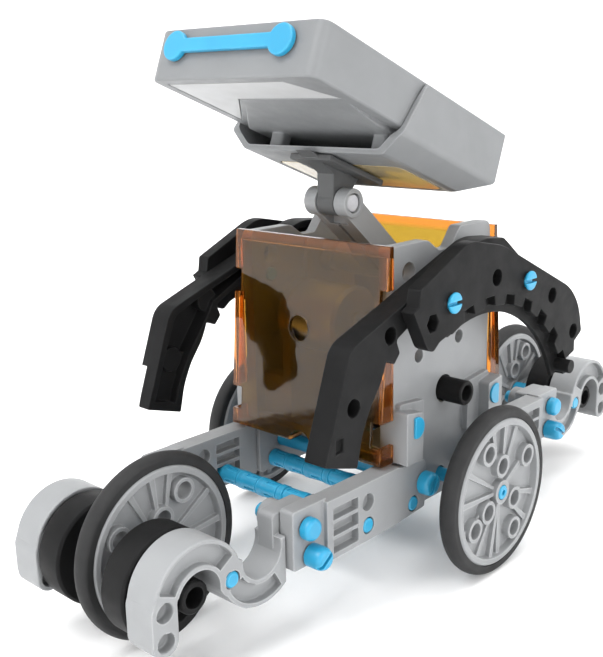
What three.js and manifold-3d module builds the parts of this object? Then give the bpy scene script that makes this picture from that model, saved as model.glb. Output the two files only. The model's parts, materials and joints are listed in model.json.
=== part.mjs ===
// Two wheel robot car from a building kit: a geared housing on two big driven wheels, with a
// free wheel in front and one behind, carried by S-shaped arms, two black fenders on each side
// and a tilting solar panel on top. Millimetres, +X right, -Y front, +Z up, wheels stand on z = 0.

import * as THREE from 'three';
import { mergeVertices } from 'three/addons/utils/BufferGeometryUtils.js';
import Module from 'manifold-3d';

const wasm = await Module();
wasm.setup();

// ---------------------------------------------------------------- driving dimensions

const GAP = 0.3;              // clearance between pieces that touch
const PIN = 1.9;              // radius of a kit pin
const HOLE = 2.2;             // radius of a kit hole
const BORE_SIDES = 8;         // sides of a hole, of a small boss and of a lathed piece
const BOSS_SIDES = 10;
const LATHE_SIDES = 12;

const WHEEL_R = 23;           // tyre radius
const RIM_R = 20.1;           // rim radius under the tyre
const WHEEL_HALF = 2.8;       // half the thickness of a wheel
const AXLE_Z = WHEEL_R;
const END_AXLE_Y = 79;        // front and rear axles, either side of the drive axle
const DRIVE_WHEEL_X = 43.3;   // middle of a driven wheel

const WALL_X = 26;            // outer face of the housing wall
const WALL_T = 3.5;
const BODY_Y = 22.5;          // half length of the housing
const BODY_LOW = 17.2;
const BODY_TOP = 89.5;
const FLOOR_Z = 33.3;         // underside of the housing floor
const FLOOR_T = 3;

const BEAM_IN = 23.5;         // side beams, inner and outer face
const BEAM_OUT = 29.2;
const BEAM_LOW = 17.2;
const BEAM_TOP = 32.8;
const BEAM_STEP_Y = 51;       // where the beam ends and its flange begins
const FLANGE_Y = 61.7;
const FLANGE_OUT = 28;

const TUBE_Y = 35.5;          // cross tube between the beams
const TUBE_Z = 21.2;
const LOW_TUBE = [16.6, 20.6];    // y and z of the tube between the housing walls
const HIGH_TUBE = [12.7, 25.6];   // y and z of the bolted tube above it
const FLANGE_PIN = [57.2, 28.3];
const FLANGE_BOLT = [55.9, 21];

const ARM_IN = 17;            // S-shaped wheel arm, inner and outer face
const ARM_OUT = 26;
const HOOK_R = 9.4;           // mean radius of both bends of the wheel arm
const HOOK_HALF = 3.3;        // half its width
const HOOK = [88.7, 22.9];    // centre of the outer bend
const BEND = [69.6, 25.8];    // centre of the inner bend
const TIP_HOLES = [[98.2, 23.3], [98.2, 16.4]];

const MODULE = 0.8;           // gear module
const DRIVE_TEETH = 23;
const TAKEOFF_TEETH = 38;
const PINION_TEETH = 10;
const TAKEOFF = [1.3, 47.6];  // axis of the take-off sleeve
const MOTOR = [-8, 64.6];     // axis of the motor
const GEAR_X = [7.8, 11.3];

const HINGE = [-14, 98.3];    // axis of the panel hinge
const FORK_X = 7.3;           // half width of the fork
const KNUCKLE_X = 2.9;        // half width of the knuckle between the fork's arms
const STRUT_FOOT = [10, 77.5];

const PANEL_TILT = 21 * Math.PI / 180;
const PANEL_EDGE = [-47.1, 142.6];   // front upper edge of the panel
const PANEL_HALF = 27.6;
const PANEL_L = 74.6;
const PANEL_T = 13;
const TRAY_FROM = 33.5;       // the tray covers the panel's rear part from here
const TRAY_DROP = 20;         // how far the tray reaches below the panel's upper face
const SHELL = 1.3;            // wall thickness of the panel's shells

const FENDER_IN = 28.3;       // black arm next to the housing
const FENDER_STEP = 32.6;     // its outer face below the step near the foot
const FENDER_WALL = 1.8;
const FENDER_OUT = 35;
const ARC_OUT = 39.3;         // toothed arc outside it
const ARC_C = [2.6, 28];      // centre of the arc's teeth
const ARC_TIP_R = 43.9;
const ARC_ROOT_R = 46.6;
const FENDER_BOLTS = [[-15, 76.2], [21.2, 76]];

const COVER_HALF = 27.2;      // amber covers
const COVER_LOW = 33.5;
const COVER_TOP = 90;
const COVER_T = 1.3;

// ---------------------------------------------------------------- materials

function plastic(hex, roughness) {
  return new THREE.MeshStandardMaterial({ color: hex, roughness, metalness: 0 });
}

const GREY = plastic(0xa9acb0, 0.45);
const DARK_GREY = plastic(0x74767a, 0.5);
const BLUE = plastic(0x35b4ec, 0.35);
const BLACK = plastic(0x2c2c2e, 0.45);
const RUBBER = plastic(0x3a3a3b, 0.85);
const CELL = plastic(0x16213a, 0.2);
const STEEL = new THREE.MeshStandardMaterial({ color: 0xb8bcc0, roughness: 0.3, metalness: 1 });
const AMBER = new THREE.MeshStandardMaterial({
  color: 0xa8642c, roughness: 0.15, metalness: 0, transparent: true, opacity: 0.6,
});

// ---------------------------------------------------------------- solids from three.js geometry

const FLIP = [0, 2, 1];

// Closed solid from a geometry: shared corners merged, empty triangles dropped, faces turned out.
function solid(geometry) {
  const bare = geometry.clone();
  for (const name of ['normal', 'uv', 'uv1', 'color']) bare.deleteAttribute(name);
  const merged = mergeVertices(bare, 1e-4);
  const at = merged.attributes.position.array;
  const index = merged.index.array;
  const kept = [];
  let volume = 0;
  for (let i = 0; i < index.length; i += 3) {
    const [a, b, c] = [index[i], index[i + 1], index[i + 2]];
    if (a === b || b === c || c === a) continue;
    kept.push(a, b, c);
    const [p, q, r] = [a, b, c].map((v) => new THREE.Vector3().fromArray(at, v * 3));
    volume += p.dot(q.cross(r));
  }
  const tris = volume > 0 ? kept : kept.map((_, i) => kept[i - (i % 3) + FLIP[i % 3]]);
  return new wasm.Manifold(new wasm.Mesh({
    numProp: 3,
    vertProperties: new Float32Array(at),
    triVerts: new Uint32Array(tris),
  }));
}

function toGeometry(manifold) {
  const mesh = manifold.getMesh();
  const geometry = new THREE.BufferGeometry();
  geometry.setAttribute('position', new THREE.BufferAttribute(mesh.vertProperties, 3));
  geometry.setIndex(new THREE.BufferAttribute(mesh.triVerts, 1));
  geometry.computeVertexNormals();
  return geometry;
}

function join(...pieces) {
  return pieces.flat().reduce((whole, piece) => whole.add(piece));
}

function cut(whole, ...pieces) {
  return pieces.flat().reduce((left, piece) => left.subtract(piece), whole);
}

function box([x0, x1], [y0, y1], [z0, z1]) {
  const geometry = new THREE.BoxGeometry(x1 - x0, y1 - y0, z1 - z0);
  geometry.translate((x0 + x1) / 2, (y0 + y1) / 2, (z0 + z1) / 2);
  return solid(geometry);
}

// Local x, y, z of an outline become y, z, x, so an outline in the side view is pushed along X.
const SIDE_VIEW = new THREE.Matrix4().makeBasis(
  new THREE.Vector3(0, 1, 0), new THREE.Vector3(0, 0, 1), new THREE.Vector3(1, 0, 0));

function pushShape(shape, [x0, x1], curveSegments = 2) {
  const geometry = new THREE.ExtrudeGeometry(shape, {
    depth: x1 - x0, bevelEnabled: false, curveSegments,
  });
  geometry.translate(0, 0, x0);
  geometry.applyMatrix4(SIDE_VIEW);
  return solid(geometry);
}

// Closed outline through the corners [y, z, corner radius].
function outline(corners) {
  const shape = new THREE.Shape();
  const count = corners.length;
  corners.forEach(([y, z, radius = 0], i) => {
    const here = new THREE.Vector2(y, z);
    const [before, after] = [corners[(i + count - 1) % count], corners[(i + 1) % count]];
    const start = new THREE.Vector2(before[0], before[1]).sub(here).setLength(radius).add(here);
    const end = new THREE.Vector2(after[0], after[1]).sub(here).setLength(radius).add(here);
    if (i === 0) shape.moveTo(start.x, start.y);
    else shape.lineTo(start.x, start.y);
    if (radius > 0) shape.quadraticCurveTo(here.x, here.y, end.x, end.y);
  });
  shape.closePath();
  return shape;
}

function plate(corners, xRange, curveSegments = 2) {
  return pushShape(outline(corners), xRange, curveSegments);
}

// Round bar along X.
function rod([y, z], radius, [x0, x1], sides = BOSS_SIDES) {
  const geometry = new THREE.CylinderGeometry(radius, radius, x1 - x0, sides);
  geometry.rotateZ(-Math.PI / 2);
  geometry.translate((x0 + x1) / 2, y, z);
  return solid(geometry);
}

// Body of revolution about the X axis through (y, z), from [x, radius] pairs.
function turned([y, z], profile, sides = LATHE_SIDES) {
  const points = profile.map(([x, radius]) => new THREE.Vector2(radius, x));
  const geometry = new THREE.LatheGeometry(points, sides);
  geometry.rotateZ(-Math.PI / 2);
  geometry.translate(0, y, z);
  return solid(geometry);
}

function mirrorX(manifold) {
  return flipped(manifold, -1, 1);
}

function flipped(manifold, sx, sy) {
  const geometry = toGeometry(manifold);
  geometry.applyMatrix4(new THREE.Matrix4().makeScale(sx, sy, 1));
  return solid(geometry);
}

function turnX(manifold, angle, [y, z]) {
  const geometry = toGeometry(manifold);
  geometry.translate(0, -y, -z);
  geometry.rotateX(angle);
  geometry.translate(0, y, z);
  return solid(geometry);
}

function polar([y, z], radius, angle) {
  return [y + radius * Math.cos(angle), z + radius * Math.sin(angle)];
}

function degrees(value) {
  return value * Math.PI / 180;
}

// ---------------------------------------------------------------- housing

function housingWall() {
  const top = BODY_TOP;
  const wall = plate([
    [-BODY_Y, BODY_LOW, 1.5], [BODY_Y, BODY_LOW, 1.5], [BODY_Y, top + 2, 3], [7.5, top + 2, 1],
    [3.2, top - 3.4, 1], [-2, top - 3.4, 1], [-7, top, 1.5], [-BODY_Y, top, 2],
  ], [WALL_X - WALL_T, WALL_X]);
  const lugs = [-1, 1].map((end) => join(
    plate([
      [end * 15.6, FLOOR_Z, 0], [end * BODY_Y, FLOOR_Z, 0], [end * BODY_Y, 47.6, 0.8],
      [end * 15.6, 46.4, 0.8],
    ], [WALL_X - 1, WALL_X + 5.4]),
    plate([
      [end * 10.4, FLOOR_Z, 0], [end * 20.8, FLOOR_Z, 0], [end * 20.8, 48.8, 0.8],
      [end * 10.4, 47.8, 0.8],
    ], [WALL_X - 1, WALL_X + 1.8]),
  ));
  const holes = [
    rod([0, AXLE_Z], HOLE, [20, 30], BORE_SIDES),
    rod(TAKEOFF, 3.8, [20, 30], LATHE_SIDES),
    rod([-15.1, 82.2], 2.6, [20, 30]),
    rod([-10.4, 59.3], 1.8, [20, 30], BORE_SIDES),
    rod([8.1, 60.9], 1.8, [20, 30], BORE_SIDES),
    ...[-1, 1].flatMap((end) => [
      rod([end * LOW_TUBE[0], LOW_TUBE[1]], HOLE, [20, 30], BORE_SIDES),
      rod([end * HIGH_TUBE[0], HIGH_TUBE[1]], HOLE, [20, 30], BORE_SIDES),
    ]),
    ...FENDER_BOLTS.map((at) => rod(at, HOLE, [20, 30], BORE_SIDES)),
  ];
  return cut(join(wall, ...lugs), holes);
}

function housingHalf() {
  const floor = box([GAP / 2, WALL_X - 1], [-BODY_Y + 0.4, BODY_Y - 0.4],
    [FLOOR_Z, FLOOR_Z + FLOOR_T]);
  const rib = box([WALL_X - WALL_T - 1.5, WALL_X - 1], [-1.2, 1.2], [70, 84]);
  const footBoss = rod(STRUT_FOOT, 4, [18.5, WALL_X - 1]);
  return cut(join(housingWall(), floor, rib, footBoss), rod(STRUT_FOOT, 2.4, [17, 24.6]));
}

// The gear and the motor side differ, so each half gets its own cut-out.
function housingRight() {
  const gearSlot = box([GEAR_X[0] - 1, GEAR_X[1] + 1], [-14, 16], [FLOOR_Z - 1, FLOOR_Z + FLOOR_T + 1]);
  return cut(housingHalf(), gearSlot);
}

// Motor cradle on the left half: a curved web that rises from the floor.
function housingLeft() {
  const cradle = plate([
    [-19, FLOOR_Z], [6, FLOOR_Z], [6, 62, 2], [-19, 62, 1],
  ], [-15, -12]);
  const seat = rod(MOTOR, 10.4, [-16, -11], 18);
  const tie = box([-WALL_X + 1, -12], [-19, -15], [FLOOR_Z, 48]);
  const shaftRoom = rod(TAKEOFF, 3.9, [-16, -11], LATHE_SIDES);
  return join(mirrorX(housingHalf()), cut(join(cradle, tie), seat, shaftRoom));
}

// Amber cover: a tray with its open side on the housing, deeper at the bottom than at the top.
function coverSolid() {
  const [topY, lowY, backY] = [-24.4, -28.7, -BODY_Y - GAP];
  const shell = plate([
    [backY, COVER_LOW, 0], [lowY, COVER_LOW, 1.5], [topY, COVER_TOP, 0], [backY, COVER_TOP, 0],
  ], [-COVER_HALF, COVER_HALF]);
  const hollow = plate([
    [backY + 1, COVER_LOW + COVER_T, 0], [lowY + COVER_T, COVER_LOW + COVER_T, 0],
    [topY + COVER_T - 0.2, COVER_TOP - 3, 0], [backY + 1, COVER_TOP - 3, 0],
  ], [-COVER_HALF + COVER_T, COVER_HALF - COVER_T]);
  const throughY = (radius, x, z) => {
    const geometry = new THREE.CylinderGeometry(radius, radius, 12, LATHE_SIDES);
    geometry.translate(x, -26, z);
    return solid(geometry);
  };
  const windows = [-1, 1].flatMap((side) => [
    box([side * 26.4 - 2.6, side * 26.4 + 2.6], [-30, -20], [38.5, 45]),
    box([side * 26.4 - 1.6, side * 26.4 + 1.6], [-30, -20], [72.5, 79]),
  ]);
  return cut(shell, hollow, throughY(3, -2.4, 65.4), throughY(4.2, -0.8, COVER_LOW - 0.5), windows);
}

// ---------------------------------------------------------------- beams and wheel arms

// Front right beam: body beside the gap, tab on the housing wall, flange for the wheel arm.
function beamSolid() {
  const body = box([BEAM_IN, BEAM_OUT], [-BEAM_STEP_Y, -BODY_Y - GAP], [BEAM_LOW, BEAM_TOP]);
  const tab = plate([
    [-BODY_Y - 4, BEAM_LOW], [-11.6, BEAM_LOW + 2, 0.5], [-11.2, BEAM_TOP - 1, 2],
    [-BODY_Y - 4, BEAM_TOP],
  ], [WALL_X + GAP, BEAM_OUT]);
  const flange = plate([
    [-FLANGE_Y, 18.3, 1], [1 - BEAM_STEP_Y, 18.3], [1 - BEAM_STEP_Y, 33.3], [-FLANGE_Y, 33.3, 1],
  ], [BEAM_IN + GAP, FLANGE_OUT]);
  return cut(join(body, tab, flange), beamPockets(), beamHoles());
}

// Louvred pocket in the outer face and a smaller one in the inner face.
function beamPockets() {
  const depth = 2.3;
  const louvre = 0.9;
  const outer = cut(
    box([BEAM_OUT - depth, BEAM_OUT + 1], [-48.8, -39.4], [18.6, 30.2]),
    [22.2, 26.2].map((z) => box([BEAM_OUT - depth - 1, BEAM_OUT], [-49, -39], [z, z + louvre])),
  );
  const inner = cut(
    box([BEAM_IN - 1, BEAM_IN + depth], [-38.6, -29.6], [20.5, 30.4]),
    [23.6, 26.9].map((z) => box([BEAM_IN, BEAM_IN + depth + 1], [-39, -29], [z, z + louvre])),
  );
  return [outer, inner];
}

function beamHoles() {
  const through = [[TUBE_Y, TUBE_Z], LOW_TUBE, HIGH_TUBE, FLANGE_PIN, FLANGE_BOLT];
  return [
    rod([-TUBE_Y, 27.5], HOLE, [BEAM_OUT - 2.2, 32], BORE_SIDES),
    rod([-43.2, 28.2], HOLE, [20, BEAM_IN + 2.2], BORE_SIDES),
    ...through.map(([y, z]) => rod([-y, z], HOLE, [20, 32], BORE_SIDES)),
  ];
}

// Band of constant width along an arc, as an outline in the side view.
function band(centre, radius, half, from, to, xRange, steps) {
  const shape = new THREE.Shape();
  const angles = Array.from({ length: steps + 1 }, (_, i) => degrees(from + (to - from) * i / steps));
  const outer = angles.map((angle) => polar(centre, radius + half, angle));
  const inner = angles.map((angle) => polar(centre, radius - half, angle)).reverse();
  [...outer, ...inner].forEach(([y, z], i) => (i ? shape.lineTo(y, z) : shape.moveTo(y, z)));
  shape.closePath();
  return pushShape(shape, xRange);
}

// Front right S-shaped arm: a hook over the tip, a bend under the flange, a lug with a sleeve.
function wheelArmSolid() {
  const [hook, bend] = [[-HOOK[0], HOOK[1]], [-BEND[0], BEND[1]]];
  const width = [ARM_IN, ARM_OUT];
  const recess = [ARM_OUT - 2, ARM_OUT + 1];
  const tips = TIP_HOLES.map(([y, z]) => [-y, z]);
  const body = join(
    band(hook, HOOK_R, HOOK_HALF, -8, 176, width, 8),
    band(bend, HOOK_R, HOOK_HALF, 172, 372, width, 8),
    tips.map((at) => rod(at, 3.5, width)),
    box(width, [tips[0][0] - 3.4, tips[0][0] + 3.2], [tips[1][1], tips[0][1]]),
    rod([-END_AXLE_Y, AXLE_Z], 3.7, width),
  );
  const kept = cut(
    body,
    box([ARM_IN - 1, ARM_OUT + 1], [-FLANGE_Y - GAP, -40], [0, 60]),
    band(hook, HOOK_R, HOOK_HALF - 1.1, 32, 156, recess, 4),
    band(bend, HOOK_R, HOOK_HALF - 1.1, 206, 300, recess, 3),
  );
  const lug = plate([
    [-FLANGE_Y - 2.2, 17.6, 1.5], [-51.6, 17.6, 1], [-51.6, 32.4, 1], [-FLANGE_Y - 2.2, 32.4, 1.5],
  ], [18.6, BEAM_IN]);
  const pinAt = [-FLANGE_PIN[0], FLANGE_PIN[1]];
  const sleeve = rod(pinAt, 3.7, [15, BEAM_IN]);
  return cut(
    join(kept, lug, sleeve),
    rod(pinAt, HOLE, [10, 30], BORE_SIDES),
    rod([-FLANGE_BOLT[0], FLANGE_BOLT[1]], HOLE, [10, 30], BORE_SIDES),
    rod([-END_AXLE_Y, AXLE_Z], HOLE, [10, 30], BORE_SIDES),
    tips.map((at) => rod(at, HOLE, [ARM_OUT - 2.5, 30], BORE_SIDES)),
  );
}

// Disc beside the end wheel: its ring hub sits in the hook and the wheel's axle passes beside it.
function spacerDiscSolid() {
  const hub = [-HOOK[0] - 0.1, HOOK[1] - 0.6];
  const disc = turned(hub, [
    [8, 0], [8, 13], [16.2, 13], [16.2, 10.4], [14.6, 9.6], [14.6, 3.9], [24.4, 3.9], [24.4, 2.5],
    [17, 2.5], [17, 0],
  ], 16);
  return cut(disc, rod([-END_AXLE_Y, AXLE_Z], HOLE, [5, 20], BORE_SIDES));
}

// ---------------------------------------------------------------- wheels

// Rim about the X axis: ring, thin web with ribs, hub and two rings of peg bosses.
function rimSolid(at) {
  const half = WHEEL_HALF - 0.2;
  const ring = turned(at, [
    [-half, RIM_R - 2], [-half, RIM_R], [half, RIM_R], [half, RIM_R - 2], [0.6, RIM_R - 2.2],
    [0.6, 1], [-0.6, 1], [-0.6, RIM_R - 2.2], [-half, RIM_R - 2],
  ], 24);
  const bossAt = [
    ...[28, 118, 208, 298].map((angle) => polar(at, 14.2, degrees(angle))),
    ...[90, 210, 330].map((angle) => polar(at, 7.4, degrees(angle))),
  ];
  const bosses = bossAt.map((centre) => rod(centre, 3.2, [-WHEEL_HALF, WHEEL_HALF], BORE_SIDES));
  const hub = rod(at, 3.2, [-WHEEL_HALF, WHEEL_HALF]);
  const bores = bossAt.map((centre) => rod(centre, 2.1, [-5, 5], 6));
  return cut(join(ring, bosses, hub), bores, rod(at, PIN + GAP, [-5, 5]));
}

function tyreSolid(at) {
  const half = WHEEL_HALF - 0.5;
  return turned(at, [
    [-half, RIM_R + GAP], [-half, WHEEL_R - 1.1], [-half + 0.8, WHEEL_R], [half - 0.8, WHEEL_R],
    [half, WHEEL_R - 1.1], [half, RIM_R + GAP], [-half, RIM_R + GAP],
  ], 24);
}

function shifted(manifold, x) {
  const geometry = toGeometry(manifold);
  geometry.translate(x, 0, 0);
  return solid(geometry);
}

// ---------------------------------------------------------------- axles, tubes and fasteners

// Rod with collars on both sides of the wheel, held in the hooks.
function endAxleSolid(y) {
  const end = ARM_OUT + 0.1;
  const collar = [WHEEL_HALF + GAP, 7.6];
  return turned([y, AXLE_Z], [
    [-end, 0], [-end, PIN], [-collar[1], PIN], [-collar[1], 3], [-collar[0], 3], [-collar[0], PIN],
    [collar[0], PIN], [collar[0], 3], [collar[1], 3], [collar[1], PIN], [end, PIN], [end, 0],
  ]);
}

// The driven axle carries spacers between the housing and the wheels, and a dimple in each end.
function driveAxleSolid() {
  const [end, out, inside] = [DRIVE_WHEEL_X + WHEEL_HALF + 0.3, DRIVE_WHEEL_X - WHEEL_HALF - GAP, 29.6];
  const half = [[0, PIN], [inside, PIN], [inside, 3.2], [out, 3.2], [out, PIN], [end, PIN],
    [end, 0.7], [end - 1, 0.7], [end - 1, 0]];
  const other = half.slice(1).map(([x, radius]) => [-x, radius]).reverse();
  return turned([0, AXLE_Z], [...other, ...half.slice(1)]);
}

// Tube along X with thin pin ends that show at the outer faces.
function crossTubeSolid(at, reach, end, radius = 2.6) {
  return turned(at, [
    [-end, 0], [-end, PIN], [-reach, PIN], [-reach, radius], [0, radius], [reach, radius],
    [reach, PIN], [end, PIN], [end, 0],
  ]);
}

// Slotted bolt along +X, from the end of its shank to the top of its domed head.
function boltSolid([y, z], [from, under, top], headR = 3.1, slotTilt = 35) {
  const bolt = turned([y, z], [
    [from, 0], [from, PIN], [under, PIN], [under, headR], [top - 0.8, headR],
    [top, headR - 0.9], [top, 0],
  ], BOSS_SIDES);
  const slot = box([top - 1.2, top + 1], [y - 5, y + 5], [z - 0.5, z + 0.5]);
  return cut(bolt, turnX(slot, degrees(slotTilt), [y, z]));
}

function plainPinSolid([y, z], [from, under, top], headR = 3) {
  return turned([y, z], [
    [from, 0], [from, PIN], [under, PIN], [under, headR], [top - 0.9, headR],
    [top, headR - 1.4], [top, 0],
  ], BOSS_SIDES);
}

// Ringed tube above the low one, with a slotted head outside each beam tab.
function boltedTubeSolid([y, z]) {
  const [reach, under, top] = [WALL_X - WALL_T - GAP, BEAM_OUT + GAP, 33.2];
  const half = [
    [reach, 2.3], [reach, PIN], [under, PIN], [under, 3.2], [top - 0.9, 3.2], [top, 2.2], [top, 0],
  ];
  const other = half.map(([x, radius]) => [-x, radius]).reverse();
  const slots = [-1, 1].map((side) => turnX(
    box([side * top - 1.2, side * top + 1.2], [y - 5, y + 5], [z - 0.5, z + 0.5]), degrees(60), [y, z]));
  return cut(turned([y, z], [...other, ...half]), slots);
}

// ---------------------------------------------------------------- gears and motor

// Spur gear about the X axis with straight-flanked teeth, its first tooth at the angle turn.
function gearSolid(centre, teeth, [x0, x1], turn) {
  const pitch = teeth * MODULE / 2;
  const [root, tip] = [pitch - 0.9, pitch + 0.7];
  const step = 2 * Math.PI / teeth;
  const shape = new THREE.Shape();
  for (let i = 0; i < teeth; i += 1) {
    const flanks = [[-0.3, root], [-0.12, tip], [0.12, tip], [0.3, root]];
    flanks.forEach(([part, radius], k) => {
      const [y, z] = polar(centre, radius, turn + (i + part) * step);
      if (i === 0 && k === 0) shape.moveTo(y, z);
      else shape.lineTo(y, z);
    });
  }
  shape.closePath();
  return pushShape(shape, [x0, x1]);
}

// Angle of gear b's first tooth that puts one of its gaps on the nearest tooth of gear a.
function meshedTurn(a, teethA, turnA, b, teethB) {
  const towards = Math.atan2(b[1] - a[1], b[0] - a[0]);
  const step = 2 * Math.PI / teethA;
  const ahead = turnA + Math.round((towards - turnA) / step) * step - towards;
  return towards + Math.PI - ahead * teethA / teethB + Math.PI / teethB;
}

const DRIVE_AT = [0, AXLE_Z];
const TAKEOFF_TURN = meshedTurn(DRIVE_AT, DRIVE_TEETH, 0, TAKEOFF, TAKEOFF_TEETH);
const PINION_TURN = meshedTurn(TAKEOFF, TAKEOFF_TEETH, TAKEOFF_TURN, MOTOR, PINION_TEETH);

function driveGearSolid() {
  const gear = gearSolid(DRIVE_AT, DRIVE_TEETH, GEAR_X, 0);
  const hub = rod(DRIVE_AT, 4.2, [GEAR_X[0] - 3, GEAR_X[1] + 3]);
  return cut(join(gear, hub), rod(DRIVE_AT, HOLE, [0, 20]));
}

// Hollow shaft that sticks out of both sides of the housing, with its gear in one piece.
function takeoffShaftSolid() {
  const [end, radius, bore] = [33.4, 3.4, 2.2];
  const sleeve = turned(TAKEOFF, [[-end, bore], [-end, radius], [end, radius], [end, bore], [-end, bore]]);
  const gear = gearSolid(TAKEOFF, TAKEOFF_TEETH, GEAR_X, TAKEOFF_TURN);
  return join(sleeve, cut(gear, rod(TAKEOFF, radius - 0.2, [0, 20], LATHE_SIDES)));
}

function motorSolid() {
  const [from, to] = [-20, 3.5];
  return turned(MOTOR, [
    [from, 0], [from, 3], [from + 1.5, 3], [from + 1.5, 9], [from + 2.5, 10], [to - 1.5, 10],
    [to - 0.5, 9], [to - 0.5, 3], [to + 1, 3], [to + 1, 1.4], [to - 2, 1.4], [to - 2, 0],
  ], 14);
}

// Pinion and the motor's shaft in one piece.
function pinionSolid() {
  const gear = gearSolid(MOTOR, PINION_TEETH, GEAR_X, PINION_TURN);
  return join(gear, rod(MOTOR, 1, [2, GEAR_X[1] + 0.6], BORE_SIDES));
}

// ---------------------------------------------------------------- fenders

// Right fender: bent arm beside the housing, hollow on its inner side, with two bosses in the
// hollow. Where it is stepped, the outer face of its foot lies further in.
function fenderSolid(stepped) {
  const footFace = stepped ? FENDER_STEP : FENDER_OUT;
  const outer = [
    [-58, 45, 0.6], [-46.6, 41.4, 0.6], [-44.9, 48.6, 2], [-42.2, 54.4, 2], [-37.6, 60.4, 2],
    [-35.6, 65, 0.5], [-32.6, 63.6, 0.5], [-30.4, 66, 0.5], [-31.8, 69.4, 1], [-8, 80.6, 4],
    [17, 82, 1], [17, 88, 3], [4, 89.2, 4], [-36, 75.2, 3], [-48.8, 70.6, 3],
  ];
  const upper = [
    [-51.4, 57.4, 0], [-42.6, 57.4, 0], [-39, 62, 1], [-34.6, 68, 1], [-33.2, 70.6, 0],
    [-9, 82.4, 2], [12, 84.4, 0], [4, 87.2, 2], [-34.8, 73.6, 2], [-46.8, 68.8, 2],
  ];
  const lower = [
    [-55.2, 46.8, 0], [-48.4, 44.6, 0.5], [-46.7, 50, 2], [-42.6, 57.4, 0], [-51.4, 57.4, 0],
  ];
  const shell = cut(
    plate(outer, [FENDER_IN, FENDER_OUT]),
    plate(upper, [FENDER_IN - 1, FENDER_OUT - FENDER_WALL]),
    plate(lower, [FENDER_IN - 1, footFace - FENDER_WALL]),
  );
  const bossAt = [[-47.8, 56.6], [-34.2, 71]];
  const bosses = bossAt.map((at) => rod(at, 3.4, [FENDER_IN + 1.4, FENDER_OUT - 1]));
  const lowerStep = box([footFace, 40], [-62, -38], [38, 55.6]);
  return cut(
    join(cut(join(shell, bosses), lowerStep), hangTab()),
    bossAt.map((at) => rod(at, HOLE, [FENDER_IN - 1, FENDER_OUT + 1], BORE_SIDES)),
    FENDER_BOLTS.map((at) => rod(at, HOLE, [20, 40], BORE_SIDES)),
    box([footFace - 1, 36], [-54.2, -51.6], [47.2, 50.4]),
  );
}

// Plate that fills the arm's corner behind the toothed arc, where both bolts pass.
function hangTab() {
  return join(
    plate([[-20, 72, 1], [-8, 72, 1], [-4, 82.6, 0], [-20, 78, 0]], [FENDER_OUT - 1.8, FENDER_OUT]),
    plate([[14, 72, 1], [25, 72, 1], [25, 81, 1], [16, 87.6, 1], [10, 87.4, 0], [12, 78, 1]],
      [FENDER_OUT - 1.8, FENDER_OUT]),
  );
}

// Toothed arc outside the arm: plate with inner teeth, a thin inner rim and a top flange.
function arcSolid() {
  const [x0, x1] = [FENDER_OUT + GAP, ARC_OUT];
  const outer = [
    [-31, 76.4, 0.5], [-25.4, 66.4, 1], [-22.8, 65.2, 1], [-20.2, 67.2, 0.5], [-15.4, 68.6, 0.5],
    [-6, 60, 0], [20, 50, 0], [36, 42.6, 0.8], [46.8, 44.8, 0.5], [44.6, 48.8, 0.5], [49.8, 50, 0.5],
    [49.6, 53, 0.5], [53.8, 55.4, 0.8], [51.4, 64, 4], [45.6, 70.2, 4], [8, 87.4, 3], [-7.6, 90.6, 4],
    [-28.2, 81.4, 0.5], [-28.8, 77.4, 0],
  ];
  const rim = polarDisc(ARC_C, 41.6, 24);
  const whole = cut(plate(outer, [x0, x1]), pushShape(rim, [x0 - 1, x1 + 1]));
  const teeth = pushShape(arcTeeth(), [x0 + 1.5, x1 + 1]);
  const holes = [
    rod([-23.2, 72.5], 2.4, [x0 - 1, x1 + 1], 6),
    ...[[5.3, 79.3], [34.9, 69.5], [48.4, 56.4]].map((at) => rod(at, HOLE, [x0 - 1, x1 + 1], BORE_SIDES)),
    ...FENDER_BOLTS.map((at) => rod(at, HOLE, [x0 - 1, x1 + 1], BORE_SIDES)),
  ];
  const peg = rod([43.4, 46.9], 2, [x0 + 1, 41.8], BORE_SIDES);
  return cut(join(cut(whole, teeth), peg), holes);
}

function polarDisc(centre, radius, steps) {
  const shape = new THREE.Shape();
  for (let i = 0; i < steps; i += 1) {
    const [y, z] = polar(centre, radius, 2 * Math.PI * i / steps);
    if (i === 0) shape.moveTo(y, z);
    else shape.lineTo(y, z);
  }
  shape.closePath();
  return shape;
}

// Everything inside the tooth line, so that teeth are left standing outside it.
function arcTeeth() {
  const shape = new THREE.Shape();
  const [count, first, step] = [8, degrees(16), degrees(12.4)];
  const base = polar(ARC_C, 20, degrees(-30));
  shape.moveTo(base[0], base[1]);
  shape.lineTo(...polar(ARC_C, ARC_TIP_R, degrees(-30)));
  shape.lineTo(...polar(ARC_C, ARC_TIP_R, first - 0.3 * step));
  for (let i = 0; i < count; i += 1) {
    const middle = first + i * step;
    [[-0.26, ARC_TIP_R], [-0.2, ARC_ROOT_R], [0.2, ARC_ROOT_R], [0.26, ARC_TIP_R]]
      .forEach(([part, radius]) => shape.lineTo(...polar(ARC_C, radius, middle + part * step)));
  }
  shape.lineTo(...polar(ARC_C, ARC_TIP_R, degrees(150)));
  shape.lineTo(...polar(ARC_C, 20, degrees(150)));
  shape.closePath();
  return shape;
}

// ---------------------------------------------------------------- strut, hinge and panel

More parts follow.
